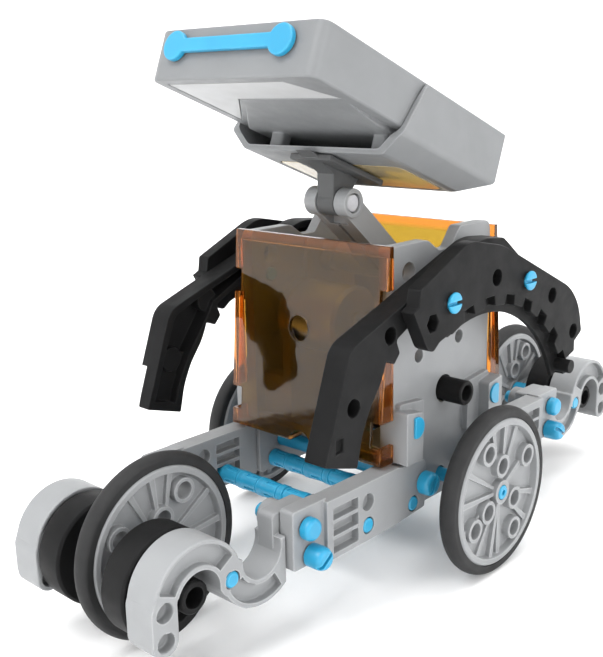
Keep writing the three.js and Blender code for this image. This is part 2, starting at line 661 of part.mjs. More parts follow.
// Fork at the hinge, slanting arm with a groove in front, and a cross bar held by the housing.
function strutSolid() {
  const along = new THREE.Vector2(STRUT_FOOT[0] - HINGE[0], STRUT_FOOT[1] - HINGE[1]).normalize();
  const side = new THREE.Vector2(-along.y, along.x);
  const point = (a, b) => [HINGE[0] + along.x * a + side.x * b, HINGE[1] + along.y * a + side.y * b];
  const length = Math.hypot(STRUT_FOOT[0] - HINGE[0], STRUT_FOOT[1] - HINGE[1]);
  const arm = plate([[...point(0, -3.4), 0], [...point(length, -3.2), 0], [...point(length, 3.2), 0],
    [...point(0, 3.4), 0]], [-5.6, 5.6]);
  const groove = plate([[...point(6, -5), 0], [...point(length - 2, -5), 0],
    [...point(length - 2, -2.4), 0], [...point(6, -2.4), 0]], [-0.7, 0.7]);
  const bosses = [-1, 1].map((end) => rod(HINGE, 3.9,
    [end > 0 ? KNUCKLE_X + GAP : -FORK_X, end > 0 ? FORK_X : -KNUCKLE_X - GAP], LATHE_SIDES));
  const bar = turned(STRUT_FOOT, [[-23.6, 0], [-23.6, 2], [-18, 2], [-18, 3], [-7, 3.8], [7, 3.8],
    [18, 3], [18, 2], [23.6, 2], [23.6, 0]], BOSS_SIDES);
  return cut(
    join(cut(arm, rod(HINGE, 5.2, [-KNUCKLE_X - GAP, KNUCKLE_X + GAP], LATHE_SIDES),
      box([-KNUCKLE_X - GAP, KNUCKLE_X + GAP], [-22, -10.2], [92, 104])), bosses, bar),
    groove,
    rod(HINGE, 1.9, [-6, 6]),
    rod(HINGE, 2.6, [6, 8]),
    rod(HINGE, 2.6, [-8, -6]),
  );
}

function hingePinSolid() {
  return turned(HINGE, [[-6.8, 0], [-6.8, 2.3], [-6.3, 2.3], [-6.3, 1.6], [6.3, 1.6], [6.3, 2.3],
    [6.8, 2.3], [6.8, 0]], BOSS_SIDES);
}

// Point in the side view from a distance along the panel and one down from its upper face.
function onPanel(along, down) {
  const [c, s] = [Math.cos(PANEL_TILT), Math.sin(PANEL_TILT)];
  return [PANEL_EDGE[0] + along * c - down * s, PANEL_EDGE[1] - along * s - down * c];
}

// Knuckle at the hinge and a wedge that widens up to the tray.
function bracketSolid() {
  const top = TRAY_DROP + GAP;
  const wedge = plate([
    [HINGE[0] - 3.3, HINGE[1] + 0.5], [-17.2, 106], onPanel(30.5, top), onPanel(52, top),
    [HINGE[0] + 3.2, HINGE[1] + 1.6],
  ], [-KNUCKLE_X, KNUCKLE_X]);
  const pad = panelSide([
    [33.8, top, 0], [33.8, top + 1.6, 0], [57, top + 1.6, 0], [57, top, 0],
  ], [-7, 7]);
  const knuckle = rod(HINGE, 3.7, [-KNUCKLE_X, KNUCKLE_X], LATHE_SIDES);
  return cut(join(wedge, pad, knuckle), rod(HINGE, 2, [-5, 5]));
}

// Outline in the panel's own side view, corners as [along, down, radius].
function panelSide(corners, xRange) {
  return plate(corners.map(([along, down, radius]) => [...onPanel(along, down), radius]), xRange);
}

function inPanel(geometry) {
  geometry.rotateX(-PANEL_TILT);
  geometry.translate(0, PANEL_EDGE[0], PANEL_EDGE[1]);
  return solid(geometry);
}

// Outline seen from above the panel, corners as [x, along, radius], pushed between two depths.
function panelSlab(corners, [top, low], curveSegments = 2) {
  const geometry = new THREE.ExtrudeGeometry(outline(corners), {
    depth: low - top, bevelEnabled: false, curveSegments,
  });
  geometry.translate(0, 0, -low);
  return inPanel(geometry);
}

// Outline seen from the panel's front, corners as [x, down, radius], pushed along the panel.
function panelPrism(corners, [from, to]) {
  const shape = outline(corners.map(([x, down, radius]) => [x, -down, radius]));
  const geometry = new THREE.ExtrudeGeometry(shape, {
    depth: to - from,
    bevelEnabled: false,
    curveSegments: 2,
  });
  const alongY = new THREE.Matrix4().makeBasis(
    new THREE.Vector3(1, 0, 0), new THREE.Vector3(0, 0, 1), new THREE.Vector3(0, 1, 0));
  geometry.applyMatrix4(alongY);
  geometry.translate(0, from, 0);
  return inPanel(geometry);
}

function rectangle(halfX, from, to, radius) {
  return [[-halfX, from, radius], [halfX, from, radius], [halfX, to, radius], [-halfX, to, radius]];
}

// Case of the cell: open above, with a raised bay and two posts below.
function panelCaseSolid() {
  const outer = panelSlab(rectangle(PANEL_HALF, 0, PANEL_L, 3), [0, PANEL_T]);
  const well = panelSlab(
    rectangle(PANEL_HALF - SHELL, SHELL, PANEL_L - SHELL, 2), [-1, PANEL_T - SHELL]);
  const bay = panelSlab([[-24, 33], [-9, 16], [24, 16], [24, 58], [-24, 58]], [PANEL_T - 0.5, 14.5])
    .intersect(panelSide([[15.9, PANEL_T - 0.1], [30.6, 14.4], [58, 14.4], [58, PANEL_T - 1],
      [15.9, PANEL_T - 1]], [-30, 30]));
  const postLow = TRAY_DROP - SHELL - GAP;
  const posts = [-15, 20].map((x) => panelSlab(
    [[x - 2.2, 35, 1.4], [x + 2.2, 35, 1.4], [x + 2.2, 39.4, 1.4], [x - 2.2, 39.4, 1.4]],
    [PANEL_T - 0.5, postLow]));
  const recess = panelSlab(
    [[-24, 3], [16, 3], [24, 14], [-9, 14], [-24, 30]], [PANEL_T - 0.6, PANEL_T + 1]);
  return cut(join(cut(outer, well), bay, posts), recess);
}

// Tray around the rear of the case: sloping lower corners and rear end, open to the front.
function panelTraySolid() {
  const half = PANEL_HALF + GAP + SHELL;
  const end = PANEL_L + GAP + SHELL;
  const section = (x, low) => [
    [-x, 0.8], [-x, low - 5.2, 1], [-x + 5.4, low, 1], [x - 5.4, low, 1], [x, low - 5.2, 1], [x, 0.8],
  ];
  const outer = panelPrism(section(half, TRAY_DROP), [TRAY_FROM - 2, end + 1]).intersect(panelSide([
    [TRAY_FROM, TRAY_DROP + 1], [end - 10, TRAY_DROP + 1], [end - 10, TRAY_DROP], [end, 14.6, 1], [end, 0],
    [TRAY_FROM + 4.5, 0, 3], [TRAY_FROM + 1.4, 8, 2], [TRAY_FROM - 1.5, 15.5, 1],
  ], [-half - 1, half + 1]));
  const inner = panelPrism(section(half - SHELL, TRAY_DROP - SHELL), [TRAY_FROM - 4, end + 1]).intersect(
    panelSide([
      [TRAY_FROM - 4, TRAY_DROP], [end - 10.6, TRAY_DROP], [end - 10.6, TRAY_DROP - SHELL],
      [end - SHELL, 13.8], [end - SHELL, -1], [TRAY_FROM - 4, -1],
    ], [-half - 1, half + 1]));
  const windowSeat = panelSlab(rectangle(21.5, 44, 65, 3), [TRAY_DROP - 0.6, TRAY_DROP + 1]);
  return cut(outer, inner, windowSeat);
}

function solarCellSolid() {
  const half = PANEL_HALF - SHELL - GAP;
  return panelSlab(rectangle(half, SHELL + GAP, PANEL_L - SHELL - GAP, 1.8), [0.3, 1.9]);
}

// Bar with round ends on the panel's front face.
function panelBarSolid() {
  const [reach, middle, endR, half, offset] = [17.9, 4.9, 3.7, 1.7, -1.2];
  const bar = panelPrism([[offset - reach, middle - half], [offset + reach, middle - half],
    [offset + reach, middle + half], [offset - reach, middle + half]], [-1.9, -GAP]);
  const ends = [-1, 1].map((side) => {
    const geometry = new THREE.CylinderGeometry(endR, endR, 1.9 - GAP, LATHE_SIDES);
    geometry.translate(offset + side * reach, (-1.9 - GAP) / 2, -middle);
    return inPanel(geometry);
  });
  return join(bar, ends);
}

// ---------------------------------------------------------------- assembly

const SIDES = [['right', 1], ['left', -1]];
const ENDS = [['front', 1], ['rear', -1]];
const car = new THREE.Group();

function add(name, manifold, material) {
  const mesh = new THREE.Mesh(toGeometry(manifold), material);
  mesh.name = name;
  car.add(mesh);
}

// One mirrored copy of a front right piece for each corner of the car.
function addAtCorners(name, manifold, material) {
  for (const [end, sy] of ENDS) {
    for (const [side, sx] of SIDES) add(`${name}_${end}_${side}`, flipped(manifold, sx, sy), material);
  }
}

function addAtEnds(name, manifold, material) {
  for (const [end, sy] of ENDS) add(`${name}_${end}`, flipped(manifold, 1, sy), material);
}

function addAtSides(name, manifold, material) {
  for (const [side, sx] of SIDES) add(`${name}_${side}`, flipped(manifold, sx, 1), material);
}

const wallInside = WALL_X - WALL_T - GAP;
const pinEnd = BEAM_OUT + 0.1;
const endAxleAt = [-END_AXLE_Y, AXLE_Z];

add('housing_right', housingRight(), GREY);
add('housing_left', housingLeft(), GREY);
addAtEnds('cover', coverSolid(), AMBER);
addAtCorners('beam', beamSolid(), GREY);
addAtCorners('wheel_arm', wheelArmSolid(), GREY);
addAtCorners('spacer_disc', spacerDiscSolid(), BLACK);

addAtEnds('rim', rimSolid(endAxleAt), GREY);
addAtEnds('tyre', tyreSolid(endAxleAt), RUBBER);
addAtSides('rim', shifted(rimSolid(DRIVE_AT), DRIVE_WHEEL_X), GREY);
addAtSides('tyre', shifted(tyreSolid(DRIVE_AT), DRIVE_WHEEL_X), RUBBER);
addAtEnds('axle', endAxleSolid(-END_AXLE_Y), BLUE);
add('drive_axle', driveAxleSolid(), BLUE);

addAtEnds('cross_tube', crossTubeSolid([-TUBE_Y, TUBE_Z], BEAM_IN - GAP, pinEnd), BLUE);
addAtEnds('low_tube', crossTubeSolid([-LOW_TUBE[0], LOW_TUBE[1]], wallInside, pinEnd), BLUE);
addAtEnds('bolted_tube', boltedTubeSolid([-HIGH_TUBE[0], HIGH_TUBE[1]]), BLUE);
addAtCorners('flange_pin',
  plainPinSolid([-FLANGE_PIN[0], FLANGE_PIN[1]], [12.6, FLANGE_OUT + GAP, 31]), BLUE);
addAtCorners('flange_bolt',
  boltSolid([-FLANGE_BOLT[0], FLANGE_BOLT[1]], [17.6, FLANGE_OUT + GAP, 33.4]), BLUE);

add('drive_gear', driveGearSolid(), BLACK);
add('takeoff_shaft', takeoffShaftSolid(), BLACK);
add('motor', motorSolid(), STEEL);
add('motor_pinion', pinionSolid(), BLACK);

add('fender_right', fenderSolid(false), BLACK);
add('fender_left', flipped(fenderSolid(true), -1, 1), BLACK);
addAtSides('fender_arc', arcSolid(), BLACK);
FENDER_BOLTS.forEach((at, i) => addAtSides(
  `fender_bolt_${ENDS[i][0]}`, boltSolid(at, [22, ARC_OUT + GAP, ARC_OUT + 1.7], 2.8, 0), BLUE));

add('strut', strutSolid(), GREY);
add('hinge_pin', hingePinSolid(), STEEL);
add('hinge_bracket', bracketSolid(), DARK_GREY);
add('panel_case', panelCaseSolid(), GREY);
add('panel_tray', panelTraySolid(), GREY);
add('solar_cell', solarCellSolid(), CELL);
add('panel_bar', panelBarSolid(), BLUE);

export default car;
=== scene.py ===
"""Looks of the two wheel robot car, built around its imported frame.

Shapes are written in millimetres on the frame's own axes (+X right, -Y front, +Z up) and brought
to metres when a piece is finished. A piece called NODE_fine replaces the CAD node called NODE.
Outlines are lists of (y, z) or, with a rounded corner, (y, z, radius).
"""

import json
import math

import bmesh
import bpy
from mathutils import Matrix, Vector
from mathutils.kdtree import KDTree

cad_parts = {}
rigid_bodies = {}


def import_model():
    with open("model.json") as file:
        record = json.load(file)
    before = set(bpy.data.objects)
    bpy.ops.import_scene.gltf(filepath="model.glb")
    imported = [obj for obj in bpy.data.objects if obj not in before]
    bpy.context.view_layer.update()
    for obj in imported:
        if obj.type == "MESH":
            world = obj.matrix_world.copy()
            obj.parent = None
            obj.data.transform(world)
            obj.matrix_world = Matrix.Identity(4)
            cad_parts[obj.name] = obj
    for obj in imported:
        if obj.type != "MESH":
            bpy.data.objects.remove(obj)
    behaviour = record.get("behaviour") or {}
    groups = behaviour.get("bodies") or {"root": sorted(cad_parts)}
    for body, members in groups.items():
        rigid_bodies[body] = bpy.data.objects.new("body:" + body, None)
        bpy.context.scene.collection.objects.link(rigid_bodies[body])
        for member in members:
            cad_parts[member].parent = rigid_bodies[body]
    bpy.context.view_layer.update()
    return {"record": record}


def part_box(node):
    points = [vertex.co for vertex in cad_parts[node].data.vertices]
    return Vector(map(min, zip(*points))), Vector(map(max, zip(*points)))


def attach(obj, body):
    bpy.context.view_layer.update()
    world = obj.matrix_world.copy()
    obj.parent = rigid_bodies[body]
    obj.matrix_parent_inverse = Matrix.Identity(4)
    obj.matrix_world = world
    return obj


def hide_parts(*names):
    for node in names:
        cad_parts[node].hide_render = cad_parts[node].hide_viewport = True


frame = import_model()

MM = 0.001
GAP = 0.3                           # clearance between pieces
PIN, HOLE = 1.9, 2.2                # radii of a kit pin and a kit hole

WHEEL_R, RIM_R, WHEEL_HALF = 23.0, 20.1, 2.8
WALL_X, WALL_T, BODY_Y = 26.0, 3.5, 22.5
BODY_LOW, BODY_TOP, FLOOR_Z, FLOOR_T = 17.2, 89.5, 33.3, 3.0
BEAM_IN, BEAM_OUT, BEAM_LOW, BEAM_TOP = 23.5, 29.2, 17.2, 32.8
BEAM_STEP_Y, FLANGE_Y, FLANGE_OUT = 51.0, 61.7, 28.0
FLANGE_PIN, FLANGE_BOLT = (-57.2, 28.3), (-55.9, 21.0)
ARM_IN, ARM_OUT, HOOK_R, HOOK_HALF = 17.0, 26.0, 9.4, 3.3
HOOK, BEND = (-88.7, 22.9), (-69.6, 25.8)
TIP_HOLES = [(-98.2, 23.3), (-98.2, 16.4)]
FENDER_IN, FENDER_STEP, FENDER_OUT, ARC_OUT = 28.3, 32.6, 35.0, 39.3
FENDER_BOSSES = [(-47.8, 56.6), (-34.2, 71)]
ARC_C, ARC_TIP_R, ARC_ROOT_R = (2.6, 28.0), 43.9, 46.6
FENDER_BOLTS = [(-15.0, 76.2), (21.2, 76.0)]
FORK_X, KNUCKLE_X, STRUT_FOOT = 7.3, 2.9, (10.0, 77.5)
PANEL_TILT = math.radians(21)
PANEL_EDGE = (-47.1, 142.6)
PANEL_HALF, PANEL_L, PANEL_T = 27.6, 74.6, 13.0
TRAY_FROM, TRAY_DROP, SHELL = 33.5, 20.0, 1.3
COVER_HALF, COVER_LOW, COVER_TOP, COVER_T = 27.2, 33.5, 90.0, 1.3


def middle(node):
    """Centre of a CAD node's box, in millimetres."""
    low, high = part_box(node)
    return (low + high) / 2 / MM


def joint_at(name):
    """Axis of a joint in the side view, in millimetres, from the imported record."""
    joints = frame["record"]["behaviour"]["joints"]
    place = next(joint["pos_m"] for joint in joints if joint["name"] == name)
    return place[1] / MM, place[2] / MM


DRIVE = joint_at("drive_spin")
TAKEOFF = joint_at("takeoff_spin")
MOTOR = joint_at("motor_spin")
END_AXLE = joint_at("front_wheel_spin")
HINGE = joint_at("panel_tilt")
TUBE = tuple(middle("cross_tube_front").yz)
LOW_TUBE = tuple(middle("low_tube_front").yz)
HIGH_TUBE = tuple(middle("bolted_tube_front").yz)

# ---------------------------- solids

scratch = bpy.data.collections.new("scratch")
bpy.context.scene.collection.children.link(scratch)


def make(points, faces):
    mesh = bpy.data.meshes.new("solid")
    mesh.from_pydata([tuple(p) for p in points], [], faces)
    work = bmesh.new()
    work.from_mesh(mesh)
    bmesh.ops.recalc_face_normals(work, faces=work.faces)
    work.to_mesh(mesh)
    work.free()
    made = bpy.data.objects.new("solid", mesh)
    scratch.objects.link(made)
    return made


def flat_list(item):
    if not isinstance(item, (list, tuple)):
        return [item]
    return [solid for part in item for solid in flat_list(part)]


def applied(solid):
    """New mesh of the solid with its modifiers applied."""
    graph = bpy.context.evaluated_depsgraph_get()
    return bpy.data.meshes.new_from_object(solid.evaluated_get(graph))


def settle(solid, mesh):
    solid.modifiers.clear()
    solid.data = mesh
    return solid


def combine(base, others, operation):
    for other in others:
        step = base.modifiers.new("combine", "BOOLEAN")
        step.operation, step.object, step.solver = operation, other, "MANIFOLD"
    settle(base, applied(base))
    for other in others:
        bpy.data.objects.remove(other)
    return base


def join(first, *others):
    return combine(first, flat_list(others), "UNION")


def cut(first, *others):
    return combine(first, flat_list(others), "DIFFERENCE")


def common(first, *others):
    return combine(first, flat_list(others), "INTERSECT")


def moved(solid, matrix):
    solid.data.transform(matrix)
    if matrix.determinant() < 0:
        solid.data.flip_normals()
    return solid


def shifted(solid, x):
    return moved(solid, Matrix.Translation((x, 0, 0)))


def turned_x(solid, degrees, at):
    place = Matrix.Translation((0, at[0], at[1]))
    return moved(solid, place @ Matrix.Rotation(math.radians(degrees), 4, "X") @ place.inverted())


def between(rows):
    """Solid between two outlines, whose points come one outline after the other."""
    count = len(rows) // 2
    sides = [(i, (i + 1) % count, count + (i + 1) % count, count + i) for i in range(count)]
    return make(rows, [tuple(range(count)), tuple(range(count, 2 * count)), *sides])


def prism(points, x_range):
    """Outline in the side view, pushed along X."""
    return between([(x, y, z) for x in x_range for y, z in points])


def rounded(corners):
    """Points of an outline, with its corners rounded."""
    points, steps = [], 6
    for i, corner in enumerate(corners):
        here = Vector(corner[:2])
        radius = corner[2] if len(corner) > 2 else 0
        if not radius:
            points.append(tuple(here))
            continue
        before = Vector(corners[i - 1][:2]) - here
        after = Vector(corners[(i + 1) % len(corners)][:2]) - here
        start, end = here + before.normalized() * radius, here + after.normalized() * radius
        for k in range(steps + 1):
            t = k / steps
            points.append(tuple((1 - t) ** 2 * start + 2 * t * (1 - t) * here + t * t * end))
    return points


def plate(corners, x_range):
    return prism(rounded(corners), x_range)


def box(x, y, z):
    return prism([(y[0], z[0]), (y[1], z[0]), (y[1], z[1]), (y[0], z[1])], x)


def polar(at, radius, degrees):
    angle = math.radians(degrees)
    return at[0] + radius * math.cos(angle), at[1] + radius * math.sin(angle)


def rod(at, radius, x_range, sides=36):
    return prism([polar(at, radius, 360 * i / sides) for i in range(sides)], x_range)


def drills(places, x_range):
    return [rod(at, HOLE, x_range) for at in places]


def lathe(at, profile, sides=72):
    """Body of revolution about the X axis through at, from (x, radius) pairs."""
    ring_shaped = profile[0] == profile[-1]
    rows = profile[:-1] if ring_shaped else profile
    points, starts = [], []
    for x, radius in rows:
        starts.append(len(points))
        turns = range(sides) if radius > 0 else range(1)
        points += [(x, *polar(at, radius, 360 * i / sides)) for i in turns]
    faces = []
    pairs = list(zip(range(len(rows)), list(range(1, len(rows))) + ([0] if ring_shaped else [])))
    for a, b in pairs:
        for i in range(sides):
            k = (i + 1) % sides
            low = [starts[a] + i, starts[a] + k] if rows[a][1] > 0 else [starts[a]]
            high = [starts[b] + k, starts[b] + i] if rows[b][1] > 0 else [starts[b]]
            if len(low) + len(high) > 2:
                faces.append(tuple(low + high))
    return make(points, faces)


def even_lathe(at, right, sides):
    """Body of revolution with two halves alike, from the profile of its right half."""
    return lathe(at, [(-x, radius) for x, radius in reversed(right) if x] + right, sides)


def band(at, radius, half, start, end, x_range):
    """Band of constant width along an arc in the side view."""
    turns = [start + (end - start) * i / 40 for i in range(41)]
    outer = [polar(at, radius + half, turn) for turn in turns]
    inner = [polar(at, radius - half, turn) for turn in reversed(turns)]
    return prism(outer + inner, x_range)


# ---------------------------- finishing a piece

WELD = 0.004                        # points closer than this become one
FLAT = math.radians(0.6)            # faces that meet at less than this become one
SOFT_FROM = math.radians(30)        # edges sharper than this are rounded
CREASE = math.radians(38)           # edges sharper than this are shaded sharp
EDGE = 0.28                         # how wide most edges are rounded
PITCH = 0.4                         # spacing of the points that stand for an edge
TRIES = 6                           # bevels tried before what is left is taken


def tree_of(points):
    """Search tree over the points."""
    tree = KDTree(len(points))
    for i, point in enumerate(points):
        tree.insert(point, i)
    tree.balance()
    return tree


def folded_points(mesh):
    """Corners of every triangle that faces against its own face."""
    mesh.calc_loop_triangles()
    points = []
    for triangle in mesh.loop_triangles:
        a, b, c = (mesh.vertices[i].co for i in triangle.vertices)
        facing = (b - a).cross(c - a)
        if facing.length > 2e-4 and facing.dot(mesh.polygons[triangle.polygon_index].normal) < 0:
            points += [a, b, c]
    return points


def drop_strays(work):
    """Removes points and edges that carry no face."""
    bmesh.ops.delete(work, geom=[v for v in work.verts if not v.link_faces], context="VERTS")
    bmesh.ops.delete(work, geom=[e for e in work.edges if not e.link_faces], context="EDGES")


def clean(solid):
    """Welds the solid and makes whole faces of its flat triangles, unless that folds one."""
    work = bmesh.new()
    work.from_mesh(solid.data)
    bmesh.ops.remove_doubles(work, verts=work.verts, dist=WELD)
    bmesh.ops.dissolve_degenerate(work, edges=work.edges, dist=WELD)
    drop_strays(work)
    work.to_mesh(solid.data)
    bmesh.ops.dissolve_limit(work, angle_limit=FLAT, verts=work.verts, edges=work.edges)
    drop_strays(work)
    whole = bpy.data.meshes.new("solid")
    work.to_mesh(whole)
    work.free()
    if not folded_points(whole):
        solid.data = whole


def samples_along(edges):
    """Points along the edges, each with its edge."""
    found = []
    for edge in edges:
        low, high = (vert.co for vert in edge.verts)
        count = max(1, int((high - low).length / PITCH))
        found += [(low.lerp(high, (k + 0.5) / count), edge) for k in range(count)]
    return found


def room_for(edges, width):
    """Share of the bevel width each edge can take before it meets its neighbour across a face."""
    found = samples_along(edges)
    tree = tree_of([point for point, _ in found])
    room = {edge.index: 1.0 for edge in edges}
    for point, edge in found:
        along = (edge.verts[1].co - edge.verts[0].co).normalized()
        for other, i, distance in tree.find_range(point, 2.4 * width):
            rival = found[i][1]
            if rival is edge or set(rival.verts) & set(edge.verts):
                continue
            if abs((other - point).dot(along)) < 0.7 * distance:
                room[edge.index] = min(room[edge.index], 0.42 * distance / width)
    return room


def soften(solid, width, segments=2):
    """Cleans the solid and rounds its sharp edges, less where there is little room."""
    clean(solid)
    if not width:
        return solid
    work = bmesh.new()
    work.from_mesh(solid.data)
    weight = work.edges.layers.float.new("bevel_weight_edge")
    work.edges.index_update()
    sharp = [e for e in work.edges if len(e.link_faces) == 2 and e.calc_face_angle(0) > SOFT_FROM]
    room = room_for(sharp, width)
    step = solid.modifiers.new("edges", "BEVEL")
    step.width, step.segments = width, segments
    step.limit_method, step.use_clamp_overlap, step.loop_slide = "WEIGHT", False, False
    for attempt in range(TRIES):
        for edge in sharp:
            edge[weight] = room[edge.index]
        work.to_mesh(solid.data)
        mesh = applied(solid)
        folded = [] if attempt == TRIES - 1 else folded_points(mesh)
        if not folded:
            break
        tree = tree_of(folded)
        for point, edge in samples_along(sharp):
            if tree.find(point)[2] < 1.6 * width:
                room[edge.index] *= 0.75 if attempt < 2 else 0
    work.free()
    return settle(solid, mesh)


def finish(solid, name, body, skin, edge=EDGE, replaces=(), segments=2, soft=False):
    """Rounds the solid's edges, brings it to metres and puts it on its body."""
    slot, material = skin
    if not soft:
        soften(solid, edge, segments)
    solid.data.transform(Matrix.Scale(MM, 4))
    solid.data.shade_smooth()
    solid.data.set_sharp_from_angle(angle=CREASE)
    even = solid.modifiers.new("even", "WEIGHTED_NORMAL")
    even.keep_sharp, even.weight = True, 80
    settle(solid, applied(solid))
    solid.name = solid.data.name = name
    scratch.objects.unlink(solid)
    bpy.context.scene.collection.objects.link(solid)
    solid.data.materials.clear()
    solid.data.materials.append(material)
    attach(solid, body)
    if replaces:
        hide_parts(*replaces)
    return solid


# Signs of X and Y that take the front right piece to each place where there is one.
ENDS = {"front": (1, 1), "rear": (1, -1)}
SIDES = {"right": (1, 1), "left": (-1, 1)}
CORNERS = {f"{end}_{side}": (sx, sy)
           for end, (_, sy) in ENDS.items() for side, (sx, _) in SIDES.items()}


def mirrored(solid, sx, sy):
    twin = bpy.data.objects.new("solid", solid.data.copy())
    scratch.objects.link(twin)
    return moved(twin, Matrix.Diagonal((sx, sy, 1, 1)))


def stand_for(solid, node, body, skin, **how):
    return finish(solid, node + "_fine", body, skin, replaces=[node], **how)


def at_each(places, solid, node, body, skin, edge=EDGE, segments=2):
    """Softens the solid once and stands a mirrored copy of it in for the node at each place."""
    soften(solid, edge, segments)
    for where, mirror in places.items():
        stand_for(mirrored(solid, *mirror), f"{node}_{where}", body.format(where), skin, soft=True)
    bpy.data.objects.remove(solid)


# ---------------------------- materials

def shader(name):
    material = bpy.data.materials.new(name)
    material.use_nodes = True
    return material, material.node_tree, material.node_tree.nodes["Principled BSDF"]


def put(node, values):
    for name, value in values.items():
        node.inputs[name].default_value = value


def own_place(tree):
    """The object's own coordinates."""
    return tree.nodes.new("ShaderNodeTexCoord").outputs["Object"]


def noise_in(tree, scale, detail):
    noise = tree.nodes.new("ShaderNodeTexNoise")
    put(noise, {"Scale": scale, "Detail": detail})
    tree.links.new(own_place(tree), noise.inputs["Vector"])
    return noise.outputs["Fac"]


def span(tree, value, low, high, start=0.35, end=0.65):
    """The value taken from start..end, where most noise lies, to low..high."""
    ranged = tree.nodes.new("ShaderNodeMapRange")
    put(ranged, {"From Min": start, "From Max": end, "To Min": low, "To Max": high})
    tree.links.new(value, ranged.inputs["Value"])
    return ranged.outputs["Result"]


def blended(tree, factor, first, second):
    mix = tree.nodes.new("ShaderNodeMix")
    mix.data_type = "RGBA"
    tree.links.new(factor, mix.inputs["Factor"])
    for socket, colour in (("A", first), ("B", second)):
        into = next(i for i in mix.inputs if i.name == socket and i.type == "RGBA")
        if isinstance(colour, tuple):
            into.default_value = (*colour, 1)
        else:
            tree.links.new(colour, into)
    return next(o for o in mix.outputs if o.type == "RGBA")


def worked_out(tree, operation, *values):
    node = tree.nodes.new("ShaderNodeMath")
    node.operation = operation
    for socket, value in zip(node.inputs, values):
        if isinstance(value, float):
            socket.default_value = value
        else:
            tree.links.new(value, socket)
    return node.outputs["Value"]


def parts_of(tree, vector):
    split = tree.nodes.new("ShaderNodeSeparateXYZ")
    tree.links.new(vector, split.inputs["Vector"])
    return split.outputs["X"], split.outputs["Y"], split.outputs["Z"]


def raise_by(tree, surface, height, strength, distance):
    bump = tree.nodes.new("ShaderNodeBump")
    put(bump, {"Strength": strength, "Distance": distance})
    tree.links.new(height, bump.inputs["Height"])
    tree.links.new(bump.outputs["Normal"], surface.inputs["Normal"])


def rubbed(tree):
    """1 at the edges and 0 on the faces, from how far a rounded normal leans off the true one; it
    masks the lighter edges, which are painted highlight and wear.
    """
    rounding = tree.nodes.new("ShaderNodeBevel")
    rounding.samples = 4
    put(rounding, {"Radius": 0.0007})
    flat = tree.nodes.new("ShaderNodeNewGeometry")
    match = tree.nodes.new("ShaderNodeVectorMath")
    match.operation = "DOT_PRODUCT"
    tree.links.new(rounding.outputs["Normal"], match.inputs[0])
    tree.links.new(flat.outputs["Normal"], match.inputs[1])
    return span(tree, match.outputs["Value"], 1, 0, 0.80, 0.98)


def moulded(name, light, dark, rough, grain=0.25, coat=0.0, shine=0.5, worn_and_highlit=None):
    """Injection-moulded plastic: faint mottling, fine grain and lighter edges, which are painted
    highlight from the rounding and wear.
    """
    material, tree, surface = shader(name)
    colour = blended(tree, span(tree, noise_in(tree, 55.0, 3.0), 0, 1), dark, light)
    # Lighter edges: painted highlight from the rounded edges, mixed with wear.
    if worn_and_highlit:
        colour = blended(tree, rubbed(tree), colour, worn_and_highlit)
    tree.links.new(colour, surface.inputs["Base Color"])
    streak = span(tree, noise_in(tree, 240.0, 4.0), rough - 0.05, rough + 0.06)
    tree.links.new(streak, surface.inputs["Roughness"])
    raise_by(tree, surface, noise_in(tree, 2600.0, 2.0), grain, 0.00004)
    put(surface, {"Coat Weight": coat, "Coat Roughness": 0.25, "Specular IOR Level": shine})
    return material


def amber_material(name, face, rear, rim, clear):
    """Clear amber plastic with warmer rims and faint moulding waves; the front cover is painted
    darker and the rear one more golden, painted shade and painted light on two copies of one part.

    The rims are the covers' side walls and top edges.
    """
    material, tree, surface = shader(name)
    x, y, z = parts_of(tree, own_place(tree))
    wall = span(tree, worked_out(tree, "ABSOLUTE", x), 0, 1, 0.0235, 0.0262)
    top = span(tree, z, 0, 1, 0.0865, 0.0885)
    # Front to rear blend: the front cover's colour is painted shade, the rear cover's colour is
    # painted light.
    body = blended(tree, span(tree, y, 0, 1, -0.02, 0.02), face, rear)
    colour = blended(tree, worked_out(tree, "MAXIMUM", wall, top), body, rim)
    tree.links.new(colour, surface.inputs["Base Color"])
    wave = noise_in(tree, 90.0, 2.0)
    raise_by(tree, surface, wave, 0.35, 0.0006)
    tree.links.new(span(tree, wave, 0.03, 0.10), surface.inputs["Roughness"])
    put(surface, {"IOR": 1.45, "Specular IOR Level": 0.25, "Transmission Weight": clear})
    return material


def steel_material():
    """Turned steel, with its fine marks running round the X axis."""
    material, tree, surface = shader("steel")
    stretch = tree.nodes.new("ShaderNodeMapping")
    put(stretch, {"Scale": (60, 2500, 2500)})
    noise = tree.nodes.new("ShaderNodeTexNoise")
    put(noise, {"Scale": 1.0})
    tree.links.new(own_place(tree), stretch.inputs["Vector"])
    tree.links.new(stretch.outputs["Vector"], noise.inputs["Vector"])
    marks = noise.outputs["Fac"]
    colour = blended(tree, span(tree, marks, 0, 1), (0.37, 0.37, 0.385), (0.41, 0.41, 0.425))
    tree.links.new(colour, surface.inputs["Base Color"])
    tree.links.new(span(tree, marks, 0.31, 0.37), surface.inputs["Roughness"])
    put(surface, {"Metallic": 1.0})
    return material


